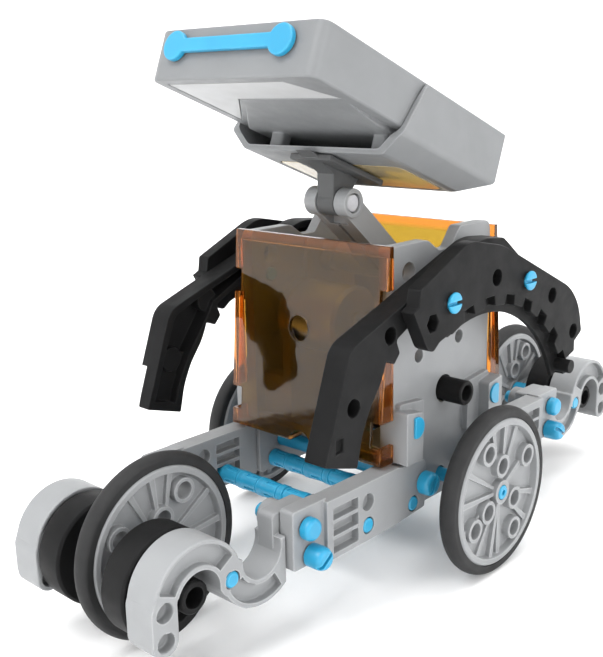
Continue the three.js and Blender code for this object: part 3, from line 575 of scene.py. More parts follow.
def cell_material():
    """Dark blue solar cell with silver fingers and bus bars under clear resin."""
    material, tree, surface = shader("solar_cell")
    turn = tree.nodes.new("ShaderNodeMapping")
    put(turn, {"Rotation": (PANEL_TILT, 0, 0)})
    tree.links.new(own_place(tree), turn.inputs["Vector"])
    across, along, _ = parts_of(tree, turn.outputs["Vector"])

    def lines(value, pitch, width):
        """1 on lines of this width that repeat at this pitch, in metres."""
        turns = worked_out(tree, "DIVIDE", value, pitch)
        return worked_out(tree, "LESS_THAN", worked_out(tree, "FRACT", turns), width / pitch)

    fingers, bars = lines(along, 0.0021, 0.00016), lines(across, 0.0130, 0.0009)
    gaps = lines(along, 0.0168, 0.0006)
    crystal = tree.nodes.new("ShaderNodeTexVoronoi")
    put(crystal, {"Scale": 260.0})
    tree.links.new(turn.outputs["Vector"], crystal.inputs["Vector"])
    depth = crystal.outputs["Distance"]
    grain = blended(tree, span(tree, depth, 0, 1, 0.1, 0.8),
                    (0.004, 0.010, 0.040), (0.010, 0.022, 0.075))
    metal = worked_out(tree, "MAXIMUM", fingers, bars)
    traced = blended(tree, metal, grain, (0.45, 0.47, 0.50))
    tree.links.new(blended(tree, gaps, traced, (0.006, 0.007, 0.012)), surface.inputs["Base Color"])
    tree.links.new(span(tree, depth, 0.36, 0.46, 0.1, 0.8), surface.inputs["Roughness"])
    put(surface, {"Specular IOR Level": 0.25, "Coat Weight": 0.12, "Coat Roughness": 0.3})
    return material


# Skins: the record's material slot, and the material that stands for it.
# The last colour of each moulded grey, black and blue is its lighter edge: painted highlight and
# wear.
GREY = "grey_plastic", moulded(
    "grey_plastic", (0.255, 0.262, 0.268), (0.232, 0.238, 0.244), 0.44, shine=0.4,
    worn_and_highlit=(0.36, 0.367, 0.375))
# The panel's grey is the same plastic as the beams', painted darker: painted shade that offsets the
# extra light the raised panel gets.
PANEL_SHADED_GREY = "grey_plastic", moulded(
    "panel_grey_painted_shade", (0.198, 0.204, 0.209), (0.181, 0.187, 0.192), 0.46, shine=0.35,
    worn_and_highlit=(0.27, 0.277, 0.285))
# Pale grey for the plate in the case's recess: a painted reflection of light on the recessed
# underside.
REFLECTION_PALE_GREY = "grey_plastic", moulded(
    "pale_painted_reflection", (0.44, 0.445, 0.45), (0.405, 0.41, 0.415), 0.5)
DARK_GREY = "dark_grey_plastic", moulded(
    "dark_grey_plastic", (0.082, 0.084, 0.085), (0.070, 0.072, 0.073), 0.5, shine=0.3)
BLACK = "black_plastic", moulded(
    "black_plastic", (0.0095, 0.0095, 0.0097), (0.006, 0.006, 0.0062), 0.52, shine=0.1,
    worn_and_highlit=(0.020, 0.020, 0.0205))
BLUE = "blue_plastic", moulded(
    "blue_plastic", (0.014, 0.285, 0.485), (0.011, 0.25, 0.435), 0.38, grain=0.12, coat=0.1,
    worn_and_highlit=(0.05, 0.42, 0.66))
RUBBER = "tyre_rubber", moulded(
    "tyre_rubber", (0.022, 0.022, 0.0225), (0.015, 0.015, 0.0155), 0.68, grain=0.5, shine=0.3)
AMBER = "amber_cover", amber_material(
    "amber_cover", (0.29, 0.155, 0.02), (0.40, 0.25, 0.03), (0.66, 0.23, 0.04), 0.96)
PALE_AMBER = "amber_cover", amber_material(
    "pale_amber", (0.60, 0.51, 0.31), (0.60, 0.51, 0.31), (0.62, 0.50, 0.28), 0.35)
STEEL = "steel", steel_material()
CELL = "solar_cell", cell_material()

# ---------------------------- wheels

def rim(at):
    half = WHEEL_HALF - 0.2
    ring = lathe(at, [
        (-half, RIM_R - 1.9), (-half, RIM_R - 0.5), (-half + 0.5, RIM_R), (half - 0.5, RIM_R),
        (half, RIM_R - 0.5), (half, RIM_R - 1.9), (0.6, RIM_R - 2.3), (0.6, 1), (-0.6, 1),
        (-0.6, RIM_R - 2.3), (-half, RIM_R - 1.9)], 96)
    peg_at = [polar(at, 14.2, a) for a in (28, 118, 208, 298)]
    peg_at += [polar(at, 7.4, a) for a in (90, 210, 330)]
    pegs = [rod(where, 3.15, (-WHEEL_HALF, WHEEL_HALF)) for where in peg_at]
    ribs = []
    # Each rib's direction, where it starts and ends, and half its thickness.
    for angle, start, end, top in (
            (83, 9.5, 18.3, 2.0), (101, 9.5, 18.3, 1.7), (148, 3, 18.3, 1.6), (176, 3, 18.3, 1.9),
            (203, 9.5, 18.3, 1.6), (238, 9.5, 18.3, 1.5), (258, 3, 18.3, 1.9), (271, 3, 18.3, 1.6),
            (318, 9.5, 18.3, 1.9), (342, 9.5, 18.3, 1.6), (28, 3, 12, 1.8), (62, 6, 18.3, 1.4)):
        low, high = (Vector(polar(at, radius, angle)) for radius in (start, end))
        across = Vector((-math.sin(math.radians(angle)), math.cos(math.radians(angle))))
        near, far = across * 0.45, across * 0.85
        ribs.append(prism([low - near, high - far, high + far, low + near], (-top, top)))
    hub = rod(at, 3.3, (-WHEEL_HALF, WHEEL_HALF))
    bores = [rod(where, 2.15, (-5, 5)) for where in peg_at]
    return cut(join(ring, pegs, ribs, hub), bores, rod(at, PIN + 0.15, (-5, 5)))


def tyre(at):
    half, top = WHEEL_HALF - 0.5, WHEEL_R
    shoulder = [(half * math.cos(math.radians(a)), top - 1.5 + 1.5 * math.sin(math.radians(a)))
                for a in range(0, 90, 12)]
    right = [(half, RIM_R + 0.05), *shoulder]
    left = [(-x, r) for x, r in reversed(right)]
    return lathe(at, [*left, (0, top), *right, left[0]], 128)


for side, mirror in SIDES.items():
    x = middle(f"rim_{side}").x
    stand_for(shifted(mirrored(rim(DRIVE), *mirror), x), f"rim_{side}", "drive", GREY, edge=0.2)
    stand_for(shifted(tyre(DRIVE), x), f"tyre_{side}", "drive", RUBBER, edge=0)
# The end wheels show their other face, so the pattern of their ribs is mirrored.
for end, (_, sy) in ENDS.items():
    at = (sy * END_AXLE[0], END_AXLE[1])
    about = Matrix.Translation((0, 2 * at[0], 0)) @ Matrix.Diagonal((1, -1, 1, 1))
    stand_for(moved(rim(at), about), f"rim_{end}", f"{end}_wheel", GREY, edge=0.2)
    stand_for(tyre(at), f"tyre_{end}", f"{end}_wheel", RUBBER, edge=0)

# ---------------------------- beams and wheel arms

def beam():
    body = box((BEAM_IN, BEAM_OUT), (-BEAM_STEP_Y, -BODY_Y - GAP), (BEAM_LOW, BEAM_TOP))
    tab = plate([(-BODY_Y - 4, BEAM_LOW), (-11.6, BEAM_LOW + 1, 0.5), (-11.2, BEAM_TOP - 1, 2),
                 (-BODY_Y - 4, BEAM_TOP)], (WALL_X + GAP, BEAM_OUT))
    flange = plate([(-FLANGE_Y, 18.3, 1), (1 - BEAM_STEP_Y, 18.3), (1 - BEAM_STEP_Y, 33.3),
                    (-FLANGE_Y, 33.3, 1)], (BEAM_IN + GAP, FLANGE_OUT))
    deep = 2.3

    def louvres(y_range, z_range, tops, face, outward):
        """A pocket with slanting fins left standing in it."""
        floor = face - outward * deep
        pocket = box(sorted((floor, face + outward)), y_range, z_range)
        for z in tops:
            fin = prism([(y_range[0] - 1, z - 0.2), (y_range[1] + 1, z - 0.2),
                         (y_range[1] + 1, z + 0.8), (y_range[0] - 1, z + 0.8)],
                        sorted((floor - outward, face - outward * 0.2)))
            pocket = cut(pocket, fin)
        return pocket

    outer = louvres((-48.8, -39.4), (18.6, 30.2), (22.2, 26.4), BEAM_OUT, 1)
    inner = louvres((-38.6, -29.6), (20.5, 30.4), (23.6, 26.9), BEAM_IN, -1)
    holes = drills([TUBE, LOW_TUBE, HIGH_TUBE, FLANGE_PIN, FLANGE_BOLT], (20, 32))
    holes += [rod((-35.5, 27.5), HOLE, (BEAM_OUT - 2.2, 32)),
              rod((-43.2, 28.2), HOLE, (20, BEAM_IN + 2.2))]
    return cut(join(body, tab, flange), outer, inner, holes)


def wheel_arm():
    width, recess = (ARM_IN, ARM_OUT), (ARM_OUT - 2, ARM_OUT + 1)
    inner_recess = (ARM_IN - 1, ARM_IN + 2)
    low_tip, high_tip = TIP_HOLES[1], TIP_HOLES[0]
    body = join(
        band(HOOK, HOOK_R, HOOK_HALF, -8, 176, width),
        band(BEND, HOOK_R, HOOK_HALF, 172, 372, width),
        [rod(at, 3.5, width) for at in TIP_HOLES],
        box(width, (low_tip[0] - 3.5, low_tip[0] + 3.5), (low_tip[1], high_tip[1])),
        rod(END_AXLE, 3.7, width))
    arcs = [band(at, HOOK_R, HOOK_HALF - 1.1, start, end, depth)
            for at, start, end in ((HOOK, 32, 156), (BEND, 206, 300))
            for depth in (recess, inner_recess)]
    kept = cut(body, box((ARM_IN - 1, ARM_OUT + 1), (-FLANGE_Y - GAP, -40), (0, 60)), arcs)
    lug = plate([(-FLANGE_Y - 2.2, 17.6, 1.5), (-51.6, 17.6, 1), (-51.6, 32.4, 1),
                 (-FLANGE_Y - 2.2, 32.4, 1.5)], (18.6, BEAM_IN))
    sleeve = rod(FLANGE_PIN, 3.7, (15, BEAM_IN))
    return cut(join(kept, lug, sleeve),
               drills([FLANGE_PIN, FLANGE_BOLT, END_AXLE], (10, 30)),
               [rod(at, HOLE, depth) for at in TIP_HOLES
                for depth in ((ARM_OUT - 2.5, 30), (10, ARM_IN + 2.5))])


def spacer_disc():
    at = (HOOK[0] - 0.1, HOOK[1] - 0.6)
    disc = lathe(at, [
        (8, 0), (8, 12.4), (8.6, 13), (15.6, 13), (16.2, 12.5), (16.2, 10.4), (14.6, 9.6),
        (14.6, 4.2), (15.0, 3.9), (24.0, 3.9), (24.4, 3.5), (24.4, 2.5), (17, 2.5), (17, 0)], 80)
    spokes = []
    for angle in range(20, 380, 60):
        spoke = box((14, 15.9), (at[0] + 3.5, at[0] + 10.2), (at[1] - 0.6, at[1] + 0.6))
        spokes.append(turned_x(spoke, angle, at))
    return cut(join(disc, spokes), rod(END_AXLE, HOLE, (5, 20)))


at_each(CORNERS, beam(), "beam", "chassis", GREY)
at_each(CORNERS, wheel_arm(), "wheel_arm", "chassis", GREY, edge=0.4, segments=3)
at_each(CORNERS, spacer_disc(), "spacer_disc", "chassis", BLACK, edge=0.2)

# ---------------------------- axles, tubes and fasteners

def end_axle():
    end = ARM_OUT + 0.1
    low, high = WHEEL_HALF + GAP, 7.6
    right = [(low, PIN), (low, 2.8), (low + 0.3, 3), (high - 0.3, 3), (high, 2.8), (high, PIN),
             (end - 0.4, PIN), (end, PIN - 0.4), (end, 0)]
    return even_lathe(END_AXLE, right, 40)


def drive_axle():
    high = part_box("drive_axle")[1].x / MM
    out = high - 2 * WHEEL_HALF - 0.6
    right = [(29.6, PIN), (29.6, 3), (29.9, 3.2), (out - 0.3, 3.2), (out, 3), (out, PIN),
             (high - 0.3, PIN), (high, PIN - 0.3), (high, 0.8), (high - 0.9, 0.7), (high - 0.9, 0)]
    return even_lathe(DRIVE, right, 40)


def cross_tube(at, reach):
    """Blue bar with collars and long flutes between them."""
    end, fat, slim = BEAM_OUT + 0.1, 2.6, 2.42
    right = []
    step = 2 * reach / 6
    for i in range(3):
        middle_x = (i + 0.5) * step
        right += [(i * step, fat), (i * step + 0.9, fat), (i * step + 1.0, slim - 0.25),
                  (i * step + 1.5, slim - 0.25), (i * step + 1.6, slim), (middle_x, slim),
                  ((i + 1) * step - 0.9, slim + 0.1), ((i + 1) * step - 0.8, fat)]
    right += [(reach, fat), (reach, PIN), (end - 0.3, PIN), (end, PIN - 0.3), (end, 0)]
    flutes = []
    for i in range(-3, 3):
        x_range = (i * step + 2.0, (i + 1) * step - 2.0)
        for angle in (20, 110, 200, 290):
            flute = box(x_range, (at[0] + 2.05, at[0] + 4), (at[1] - 0.45, at[1] + 0.45))
            flutes.append(turned_x(flute, angle, at))
    return cut(even_lathe(at, right, 40), flutes)


def slot(top, at, angle, deep=1.3):
    return turned_x(box(sorted((top - deep, top + 1)), (at[0] - 5, at[0] + 5),
                        (at[1] - 0.55, at[1] + 0.55)), angle, at)


def head(under, top, radius):
    """Profile of a domed head, from its underside to its crown."""
    rise = top - under
    crown = [(under + rise * 0.55 + rise * 0.45 * math.sin(math.radians(a)),
              radius * (0.62 + 0.38 * math.cos(math.radians(a)))) for a in range(0, 91, 15)]
    return [(under, radius - 0.2), (under + 0.2, radius), *crown, (top, 0)]


def pin(at, start, under, top, radius=2.8):
    shank = [(start, 0), (start, PIN - 0.3), (start + 0.3, PIN), (under, PIN)]
    return lathe(at, shank + head(under, top, radius), 40)


def bolt(at, start, under, top, radius=2.9, angle=35):
    return cut(pin(at, start, under, top, radius), slot(top, at, angle))


def bolted_tube(at):
    reach, under, top = WALL_X - WALL_T - GAP, BEAM_OUT + GAP, 33.2
    right = [(0, 2.25), (reach - 0.9, 2.25), (reach - 0.6, 2.3), (reach, 2.3), (reach, PIN),
             (under, PIN), *head(under, top, 3.2)]
    return cut(even_lathe(at, right, 40), slot(top, at, 60),
               shifted(slot(top, at, 60, 2), -2 * top + 0.3))


at_each(ENDS, end_axle(), "axle", "{}_wheel", BLUE, edge=0)
stand_for(drive_axle(), "drive_axle", "drive", BLUE, edge=0)
for places, solid, node in (
        (ENDS, cross_tube(TUBE, BEAM_IN - GAP), "cross_tube"),
        (ENDS, cross_tube(LOW_TUBE, WALL_X - WALL_T - GAP), "low_tube"),
        (ENDS, bolted_tube(HIGH_TUBE), "bolted_tube"),
        (CORNERS, pin(FLANGE_PIN, 12.6, FLANGE_OUT + GAP, 31), "flange_pin"),
        (CORNERS, bolt(FLANGE_BOLT, 17.6, FLANGE_OUT + GAP, 33.4), "flange_bolt")):
    at_each(places, solid, node, "chassis", BLUE, edge=0)
for end, at in zip(ENDS, FENDER_BOLTS):
    at_each(SIDES, bolt(at, 22, ARC_OUT + GAP, ARC_OUT + 1.3, radius=2.65, angle=0),
            f"fender_bolt_{end}", "chassis", BLUE, edge=0)

# ---------------------------- housing

def housing_half():
    high = BODY_TOP
    wall = plate([
        (-BODY_Y, BODY_LOW, 1.5), (BODY_Y, BODY_LOW, 1.5), (BODY_Y, high + 2, 3),
        (7.5, high + 2, 1), (3.2, high - 3.4, 1), (-2, high - 3.4, 1), (-7, high, 1.5),
        (-BODY_Y, high, 2)], (WALL_X - WALL_T, WALL_X))
    lugs = []
    for end in (-1, 1):
        lugs.append(plate([(end * 15.6, FLOOR_Z), (end * BODY_Y, FLOOR_Z),
                           (end * BODY_Y, 47.6, 0.8), (end * 15.6, 46.4, 0.8)],
                          (WALL_X - 1, WALL_X + 5.4)))
        lugs.append(plate([(end * 10.4, FLOOR_Z), (end * 20.8, FLOOR_Z), (end * 20.8, 48.8, 0.8),
                           (end * 10.4, 47.8, 0.8)], (WALL_X - 1, WALL_X + 1.8)))
    floor = box((GAP / 2, WALL_X - 1), (-BODY_Y + 0.4, BODY_Y - 0.4), (FLOOR_Z, FLOOR_Z + FLOOR_T))
    rib = box((WALL_X - WALL_T - 1.5, WALL_X - 1), (-1.2, 1.2), (70, 84))
    foot = rod(STRUT_FOOT, 4, (18.5, WALL_X - 1))
    wide = (20, 30)
    holes = [rod(DRIVE, HOLE, wide), rod(TAKEOFF, 3.8, wide), rod((-15.1, 82.2), 2.6, wide),
             rod((-10.4, 59.3), 1.8, wide), rod((8.1, 60.9), 1.8, wide),
             rod(STRUT_FOOT, 2.4, (17, 24.6))]
    tubes = [(end * y, z) for end in (-1, 1) for y, z in (LOW_TUBE, HIGH_TUBE)]
    holes += drills([*tubes, *FENDER_BOLTS], wide)
    return cut(join(wall, lugs, floor, rib, foot), holes)


def housing_right():
    return cut(housing_half(), box((6.8, 12.3), (-14, 16), (FLOOR_Z - 1, FLOOR_Z + FLOOR_T + 1)))


def housing_left():
    cradle = plate([(-19, FLOOR_Z), (6, FLOOR_Z), (6, 62, 2), (-19, 62, 1)], (-15, -12))
    tie = box((-WALL_X + 1, -12), (-19, -15), (FLOOR_Z, 48))
    web = cut(join(cradle, tie), rod(MOTOR, 10.4, (-16, -11), 60), rod(TAKEOFF, 3.9, (-16, -11)))
    return join(moved(housing_half(), Matrix.Diagonal((-1, 1, 1, 1))), web)


def cover():
    top_y, low_y, back_y = -24.4, -28.7, -BODY_Y - GAP
    shell = plate([(back_y, COVER_LOW), (low_y, COVER_LOW, 1.5), (top_y, COVER_TOP),
                   (back_y, COVER_TOP)], (-COVER_HALF, COVER_HALF))
    hollow = plate([(back_y + 1, COVER_LOW + COVER_T), (low_y + COVER_T, COVER_LOW + COVER_T),
                    (top_y + COVER_T - 0.2, COVER_TOP - 3), (back_y + 1, COVER_TOP - 3)],
                   (-COVER_HALF + COVER_T, COVER_HALF - COVER_T))

    def through(radius, x, z):
        bar = rod((0, 0), radius, (-6, 6))
        return moved(bar, Matrix.Translation((x, -26, z)) @ Matrix.Rotation(math.pi / 2, 4, "Z"))

    windows = []
    for side in (-1, 1):
        windows.append(box(sorted((side * 23.8, side * 29)), (-30, -20), (38.5, 45)))
        windows.append(box(sorted((side * 24.8, side * 28)), (-30, -20), (72.5, 79)))
    return cut(shell, hollow, through(3.4, -2.4, 65.4), through(4.2, -0.8, COVER_LOW - 0.5),
               windows)


stand_for(housing_right(), "housing_right", "chassis", GREY)
stand_for(housing_left(), "housing_left", "chassis", GREY)
at_each(ENDS, cover(), "cover", "chassis", AMBER, edge=0.25)


def lug_head():
    """D-shaped head of the peg in a lug, its flat side towards the end of the car."""
    shape = [polar((-18.8, 43), 2.9, a) for a in range(-110, 111, 10)]
    return prism(shape, (WALL_X + 5.3, WALL_X + 6.1))


for where, mirror in CORNERS.items():
    finish(mirrored(lug_head(), *mirror), f"lug_head_{where}", "chassis", BLUE, edge=0.25)

# ---------------------------- gears and motor

MODULE, GEAR_X = 0.8, (7.8, 11.3)
DRIVE_TEETH, TAKEOFF_TEETH, PINION_TEETH = 23, 38, 10


def meshed_turn(a, teeth_a, turn_a, b, teeth_b):
    """Angle of gear b's first tooth that puts one of its gaps on gear a's nearest tooth."""
    towards = math.atan2(b[1] - a[1], b[0] - a[0])
    step = 2 * math.pi / teeth_a
    ahead = turn_a + round((towards - turn_a) / step) * step - towards
    return towards + math.pi - ahead * teeth_a / teeth_b + math.pi / teeth_b


def gear(at, teeth, turn):
    pitch = teeth * MODULE / 2
    root, tip = pitch - 0.9, pitch + 0.7
    flanks = ((-0.3, root), (-0.22, pitch), (-0.12, tip), (0.12, tip), (0.22, pitch), (0.3, root))
    step = 360 / teeth
    points = [polar(at, radius, math.degrees(turn) + (i + part) * step)
              for i in range(teeth) for part, radius in flanks]
    return prism(points, GEAR_X)


TAKEOFF_TURN = meshed_turn(DRIVE, DRIVE_TEETH, 0, TAKEOFF, TAKEOFF_TEETH)
PINION_TURN = meshed_turn(TAKEOFF, TAKEOFF_TEETH, TAKEOFF_TURN, MOTOR, PINION_TEETH)


def web_cut(at, inner, outer):
    """Ring-shaped recesses in both faces of a gear."""
    recess = [(-0.1, inner), (-0.1, outer), (1.1, outer - 0.3), (1.1, inner + 0.3), (-0.1, inner)]
    right = lathe(at, [(GEAR_X[0] + x, r) for x, r in recess], 60)
    left = lathe(at, [(GEAR_X[1] - x, r) for x, r in recess], 60)
    return [right, left]


def drive_gear():
    hub = rod(DRIVE, 4.2, (GEAR_X[0] - 3, GEAR_X[1] + 3))
    wheel = cut(gear(DRIVE, DRIVE_TEETH, 0), web_cut(DRIVE, 4.8, 7.4))
    return cut(join(wheel, hub), rod(DRIVE, PIN + 0.1, (0, 20)))


def takeoff_shaft():
    end, radius, bore = 33.4, 3.4, 2.2
    sleeve = lathe(TAKEOFF, [(-end, bore + 0.2), (-end, radius - 0.3), (0.3 - end, radius),
                             (end - 0.3, radius), (end, radius - 0.3), (end, bore + 0.2),
                             (end - 0.2, bore), (0.2 - end, bore), (-end, bore + 0.2)], 48)
    wheel = cut(gear(TAKEOFF, TAKEOFF_TEETH, TAKEOFF_TURN), web_cut(TAKEOFF, 5, 12.6),
                [rod(polar(TAKEOFF, 8.8, a), 1.6, (0, 20)) for a in range(0, 360, 60)],
                rod(TAKEOFF, radius - 0.2, (0, 20)))
    return join(sleeve, wheel)


def motor():
    start, end = -20, 3.5
    return lathe(MOTOR, [
        (start, 0), (start, 2.8), (start + 0.3, 3), (start + 1.5, 3), (start + 1.5, 9),
        (start + 2.5, 10), (start + 5, 10), (start + 5.2, 9.8), (start + 5.8, 9.8), (start + 6, 10),
        (end - 1.5, 10), (end - 0.5, 9), (end - 0.5, 3), (end + 0.8, 3), (end + 1, 2.8),
        (end + 1, 1.4), (end - 2, 1.4), (end - 2, 0)], 64)


stand_for(drive_gear(), "drive_gear", "drive", BLACK, edge=0.1)
stand_for(takeoff_shaft(), "takeoff_shaft", "takeoff", BLACK, edge=0)
stand_for(motor(), "motor", "chassis", STEEL, edge=0)
stand_for(join(gear(MOTOR, PINION_TEETH, PINION_TURN), rod(MOTOR, 1, (2, GEAR_X[1] + 0.6))),
          "motor_pinion", "motor_shaft", BLACK, edge=0.1)

# ---------------------------- fenders

def fender(foot_face):
    outer = [
        (-58, 45, 0.6), (-46.6, 41.4, 0.6), (-44.9, 48.6, 2), (-42.2, 54.4, 2), (-37.6, 60.4, 2),
        (-35.6, 65, 0.5), (-32.6, 63.6, 0.5), (-30.4, 66, 0.5), (-31.8, 69.4, 1), (-8, 80.6, 4),
        (17, 82, 1), (17, 88, 3), (4, 89.2, 4), (-36, 75.2, 3), (-48.8, 70.6, 3)]
    upper = [
        (-51.4, 57.4), (-42.6, 57.4), (-39, 62, 1), (-34.6, 68, 1), (-33.2, 70.6),
        (-9, 82.4, 2), (12, 84.4), (4, 87.2, 2), (-34.8, 73.6, 2), (-46.8, 68.8, 2)]
    lower = [(-55.2, 46.8), (-48.4, 44.6, 0.5), (-46.7, 50, 2), (-42.6, 57.4), (-51.4, 57.4)]
    shell = cut(plate(outer, (FENDER_IN, FENDER_OUT)),
                plate(upper, (FENDER_IN - 1, FENDER_OUT - 1.8)),
                plate(lower, (FENDER_IN - 1, foot_face - 1.8)))
    bosses = [rod(at, 3.4, (FENDER_IN + 1.4, FENDER_OUT - 1)) for at in FENDER_BOSSES]
    tab_x = (FENDER_OUT - 1.8, FENDER_OUT)
    tabs = [plate([(-20, 72, 1), (-8, 72, 1), (-4, 82.6), (-20, 78)], tab_x),
            plate([(14, 72, 1), (25, 72, 1), (25, 81, 1), (16, 87.6, 1), (10, 87.4), (12, 78, 1)],
                  tab_x)]
    stepped = join(shell, bosses)
    if foot_face < FENDER_OUT:
        stepped = cut(stepped, box((foot_face, 40), (-62, -38), (38, 55.6)))
    return cut(join(stepped, tabs),
               drills(FENDER_BOSSES, (FENDER_IN + 2.6, FENDER_OUT + 1)),
               drills(FENDER_BOLTS, (20, 40)),
               box((foot_face - 1, 36), (-54.2, -51.6), (47.2, 50.4)))


def fender_arc():
    x0, x1 = FENDER_OUT + GAP, ARC_OUT
    outer = [
        (-31, 76.4, 0.5), (-25.4, 66.4, 1), (-22.8, 65.2, 1), (-20.2, 67.2, 0.5),
        (-15.4, 68.6, 0.5), (-6, 60), (20, 50), (36, 42.6, 0.8), (46.8, 44.8, 0.5),
        (44.6, 48.8, 0.5), (49.8, 50, 0.5), (49.6, 53, 0.5), (53.8, 55.4, 0.8), (51.4, 64, 4),
        (45.6, 70.2, 4), (8, 87.4, 3), (-7.6, 90.6, 4), (-28.2, 81.4, 0.5), (-28.8, 77.4)]
    whole = cut(plate(outer, (x0, x1)), rod(ARC_C, 41.6, (x0 - 1, x1 + 1), 96))
    step, first = 12.4, 16
    comb = [polar(ARC_C, 20, -30), polar(ARC_C, ARC_TIP_R, -30),
            polar(ARC_C, ARC_TIP_R, first - 0.3 * step)]
    for i in range(8):
        centre = first + i * step
        comb += [polar(ARC_C, radius, centre + part * step) for part, radius in
                 ((-0.26, ARC_TIP_R), (-0.2, ARC_ROOT_R), (0.2, ARC_ROOT_R), (0.26, ARC_TIP_R))]
    comb += [polar(ARC_C, ARC_TIP_R, a) for a in (118, 126, 134, 142, 150)]
    comb.append(polar(ARC_C, 20, 150))
    across = (x0 - 1, x1 + 1)
    open_holes = ((5.3, 79.3), (34.9, 69.5), (48.4, 56.4))
    holes = [rod((-23.2, 72.5), 2.4, across, 6), *drills([*open_holes, *FENDER_BOLTS], across)]
    peg = rod((43.4, 46.9), 2, (x0 + 1, 41.8))
    return cut(join(cut(whole, prism(comb, (x0 + 1.5, x1 + 1))), peg), holes)


stand_for(fender(FENDER_OUT), "fender_right", "chassis", BLACK, edge=0.35)
stand_for(mirrored(fender(FENDER_STEP), *SIDES["left"]), "fender_left", "chassis", BLACK, edge=0.35)
at_each(SIDES, fender_arc(), "fender_arc", "chassis", BLACK, edge=0.3)

# ---------------------------- strut and hinge

def strut():
    way = Vector((STRUT_FOOT[0] - HINGE[0], STRUT_FOOT[1] - HINGE[1]))
    length = way.length
    way.normalize()
    side = Vector((-way.y, way.x))

    def point(a, b):
        return tuple(Vector(HINGE) + way * a + side * b)

    arm = prism([point(0, -3.4), point(length, -3.2), point(length, 3.2), point(0, 3.4)],
                (-5.6, 5.6))
    groove = prism([point(6, -5), point(length - 2, -5), point(length - 2, -2.4), point(6, -2.4)],
                   (-0.7, 0.7))
    inside = (-KNUCKLE_X - GAP, KNUCKLE_X + GAP)
    bosses = [rod(HINGE, 3.9, x_range, 48)
              for x_range in ((-FORK_X, -KNUCKLE_X - GAP), (KNUCKLE_X + GAP, FORK_X))]
    bar = lathe(STRUT_FOOT, [(-23.6, 0), (-23.6, 2), (-18, 2), (-18, 3), (-7, 3.8), (7, 3.8),
                             (18, 3), (18, 2), (23.6, 2), (23.6, 0)], 40)
    freed = cut(arm, rod(HINGE, 5.2, inside, 48), box(inside, (-22, -10.2), (92, 104)))
    return cut(join(freed, bosses, bar), groove, rod(HINGE, 1.7, (-6, 6)), rod(HINGE, 2.6, (6, 8)),
               rod(HINGE, 2.6, (-8, -6)))


def hinge_pin():
    right = [(6.3, 1.6), (6.3, 2.1), (6.5, 2.3), (6.7, 2.3), (6.8, 2.1), (6.8, 0)]
    return even_lathe(HINGE, right, 36)


def on_panel(along, down):
    c, s = math.cos(PANEL_TILT), math.sin(PANEL_TILT)
    return (PANEL_EDGE[0] + along * c - down * s, PANEL_EDGE[1] - along * s - down * c)


def panel_side(corners, x_range):
    return plate([(*on_panel(*corner[:2]), *corner[2:]) for corner in corners], x_range)


def bracket():
    top = TRAY_DROP + GAP
    wedge = prism([(HINGE[0] - 3.3, HINGE[1] + 0.5), (-17.2, 106), on_panel(30.5, top),
                   on_panel(52, top), (HINGE[0] + 3.2, HINGE[1] + 1.6)], (-KNUCKLE_X, KNUCKLE_X))
    pad = panel_side([(33.8, top), (33.8, top + 1.6), (57, top + 1.6), (57, top)], (-7, 7))
    knuckle = rod(HINGE, 3.7, (-KNUCKLE_X, KNUCKLE_X), 48)
    return cut(join(wedge, pad, knuckle), rod(HINGE, 1.7, (-5, 5)))


stand_for(strut(), "strut", "chassis", GREY, edge=0.35)
stand_for(hinge_pin(), "hinge_pin", "chassis", STEEL, edge=0)
stand_for(bracket(), "hinge_bracket", "panel", DARK_GREY, edge=0.35)

# ---------------------------- solar panel

IN_PANEL = Matrix.Translation((0, *PANEL_EDGE)) @ Matrix.Rotation(-PANEL_TILT, 4, "X")


def slab(corners, down):
    """Outline seen from above the panel, corners (x, along, radius), between two depths."""
    points = rounded(corners)
    return moved(between([(x, along, -depth) for depth in down for x, along in points]), IN_PANEL)


def panel_prism(corners, along):
    """Outline seen from the panel's front, corners (x, down, radius), pushed along the panel."""
    points = rounded(corners)
    return moved(between([(x, reach, -down) for reach in along for x, down in points]), IN_PANEL)


def rectangle(half, start, end, radius):
    return [(x, y, radius) for x, y in ((-half, start), (half, start), (half, end), (-half, end))]


def panel_case():
    outer = slab(rectangle(PANEL_HALF, 0, PANEL_L, 3), (0, PANEL_T))
    well = slab(rectangle(PANEL_HALF - SHELL, SHELL, PANEL_L - SHELL, 2), (-1, PANEL_T - SHELL))
    bay = common(slab([(-24, 33), (-9, 16), (24, 16), (24, 58), (-24, 58)], (PANEL_T - 0.5, 14.5)),
                 panel_side([(15.9, PANEL_T - 0.1), (30.6, 14.4), (58, 14.4), (58, PANEL_T - 1),
                             (15.9, PANEL_T - 1)], (-30, 30)))
    post_low = TRAY_DROP - SHELL - GAP
    posts = [slab([(x - 2.2, 35, 1.4), (x + 2.2, 35, 1.4), (x + 2.2, 39.4, 1.4),
                   (x - 2.2, 39.4, 1.4)], (PANEL_T - 0.5, post_low)) for x in (-15, 20)]
    recess = slab([(-24, 3), (16, 3), (24, 14), (-9, 14), (-24, 30)], (PANEL_T - 0.6, PANEL_T + 1))
    return cut(join(cut(outer, well), bay, posts), recess)


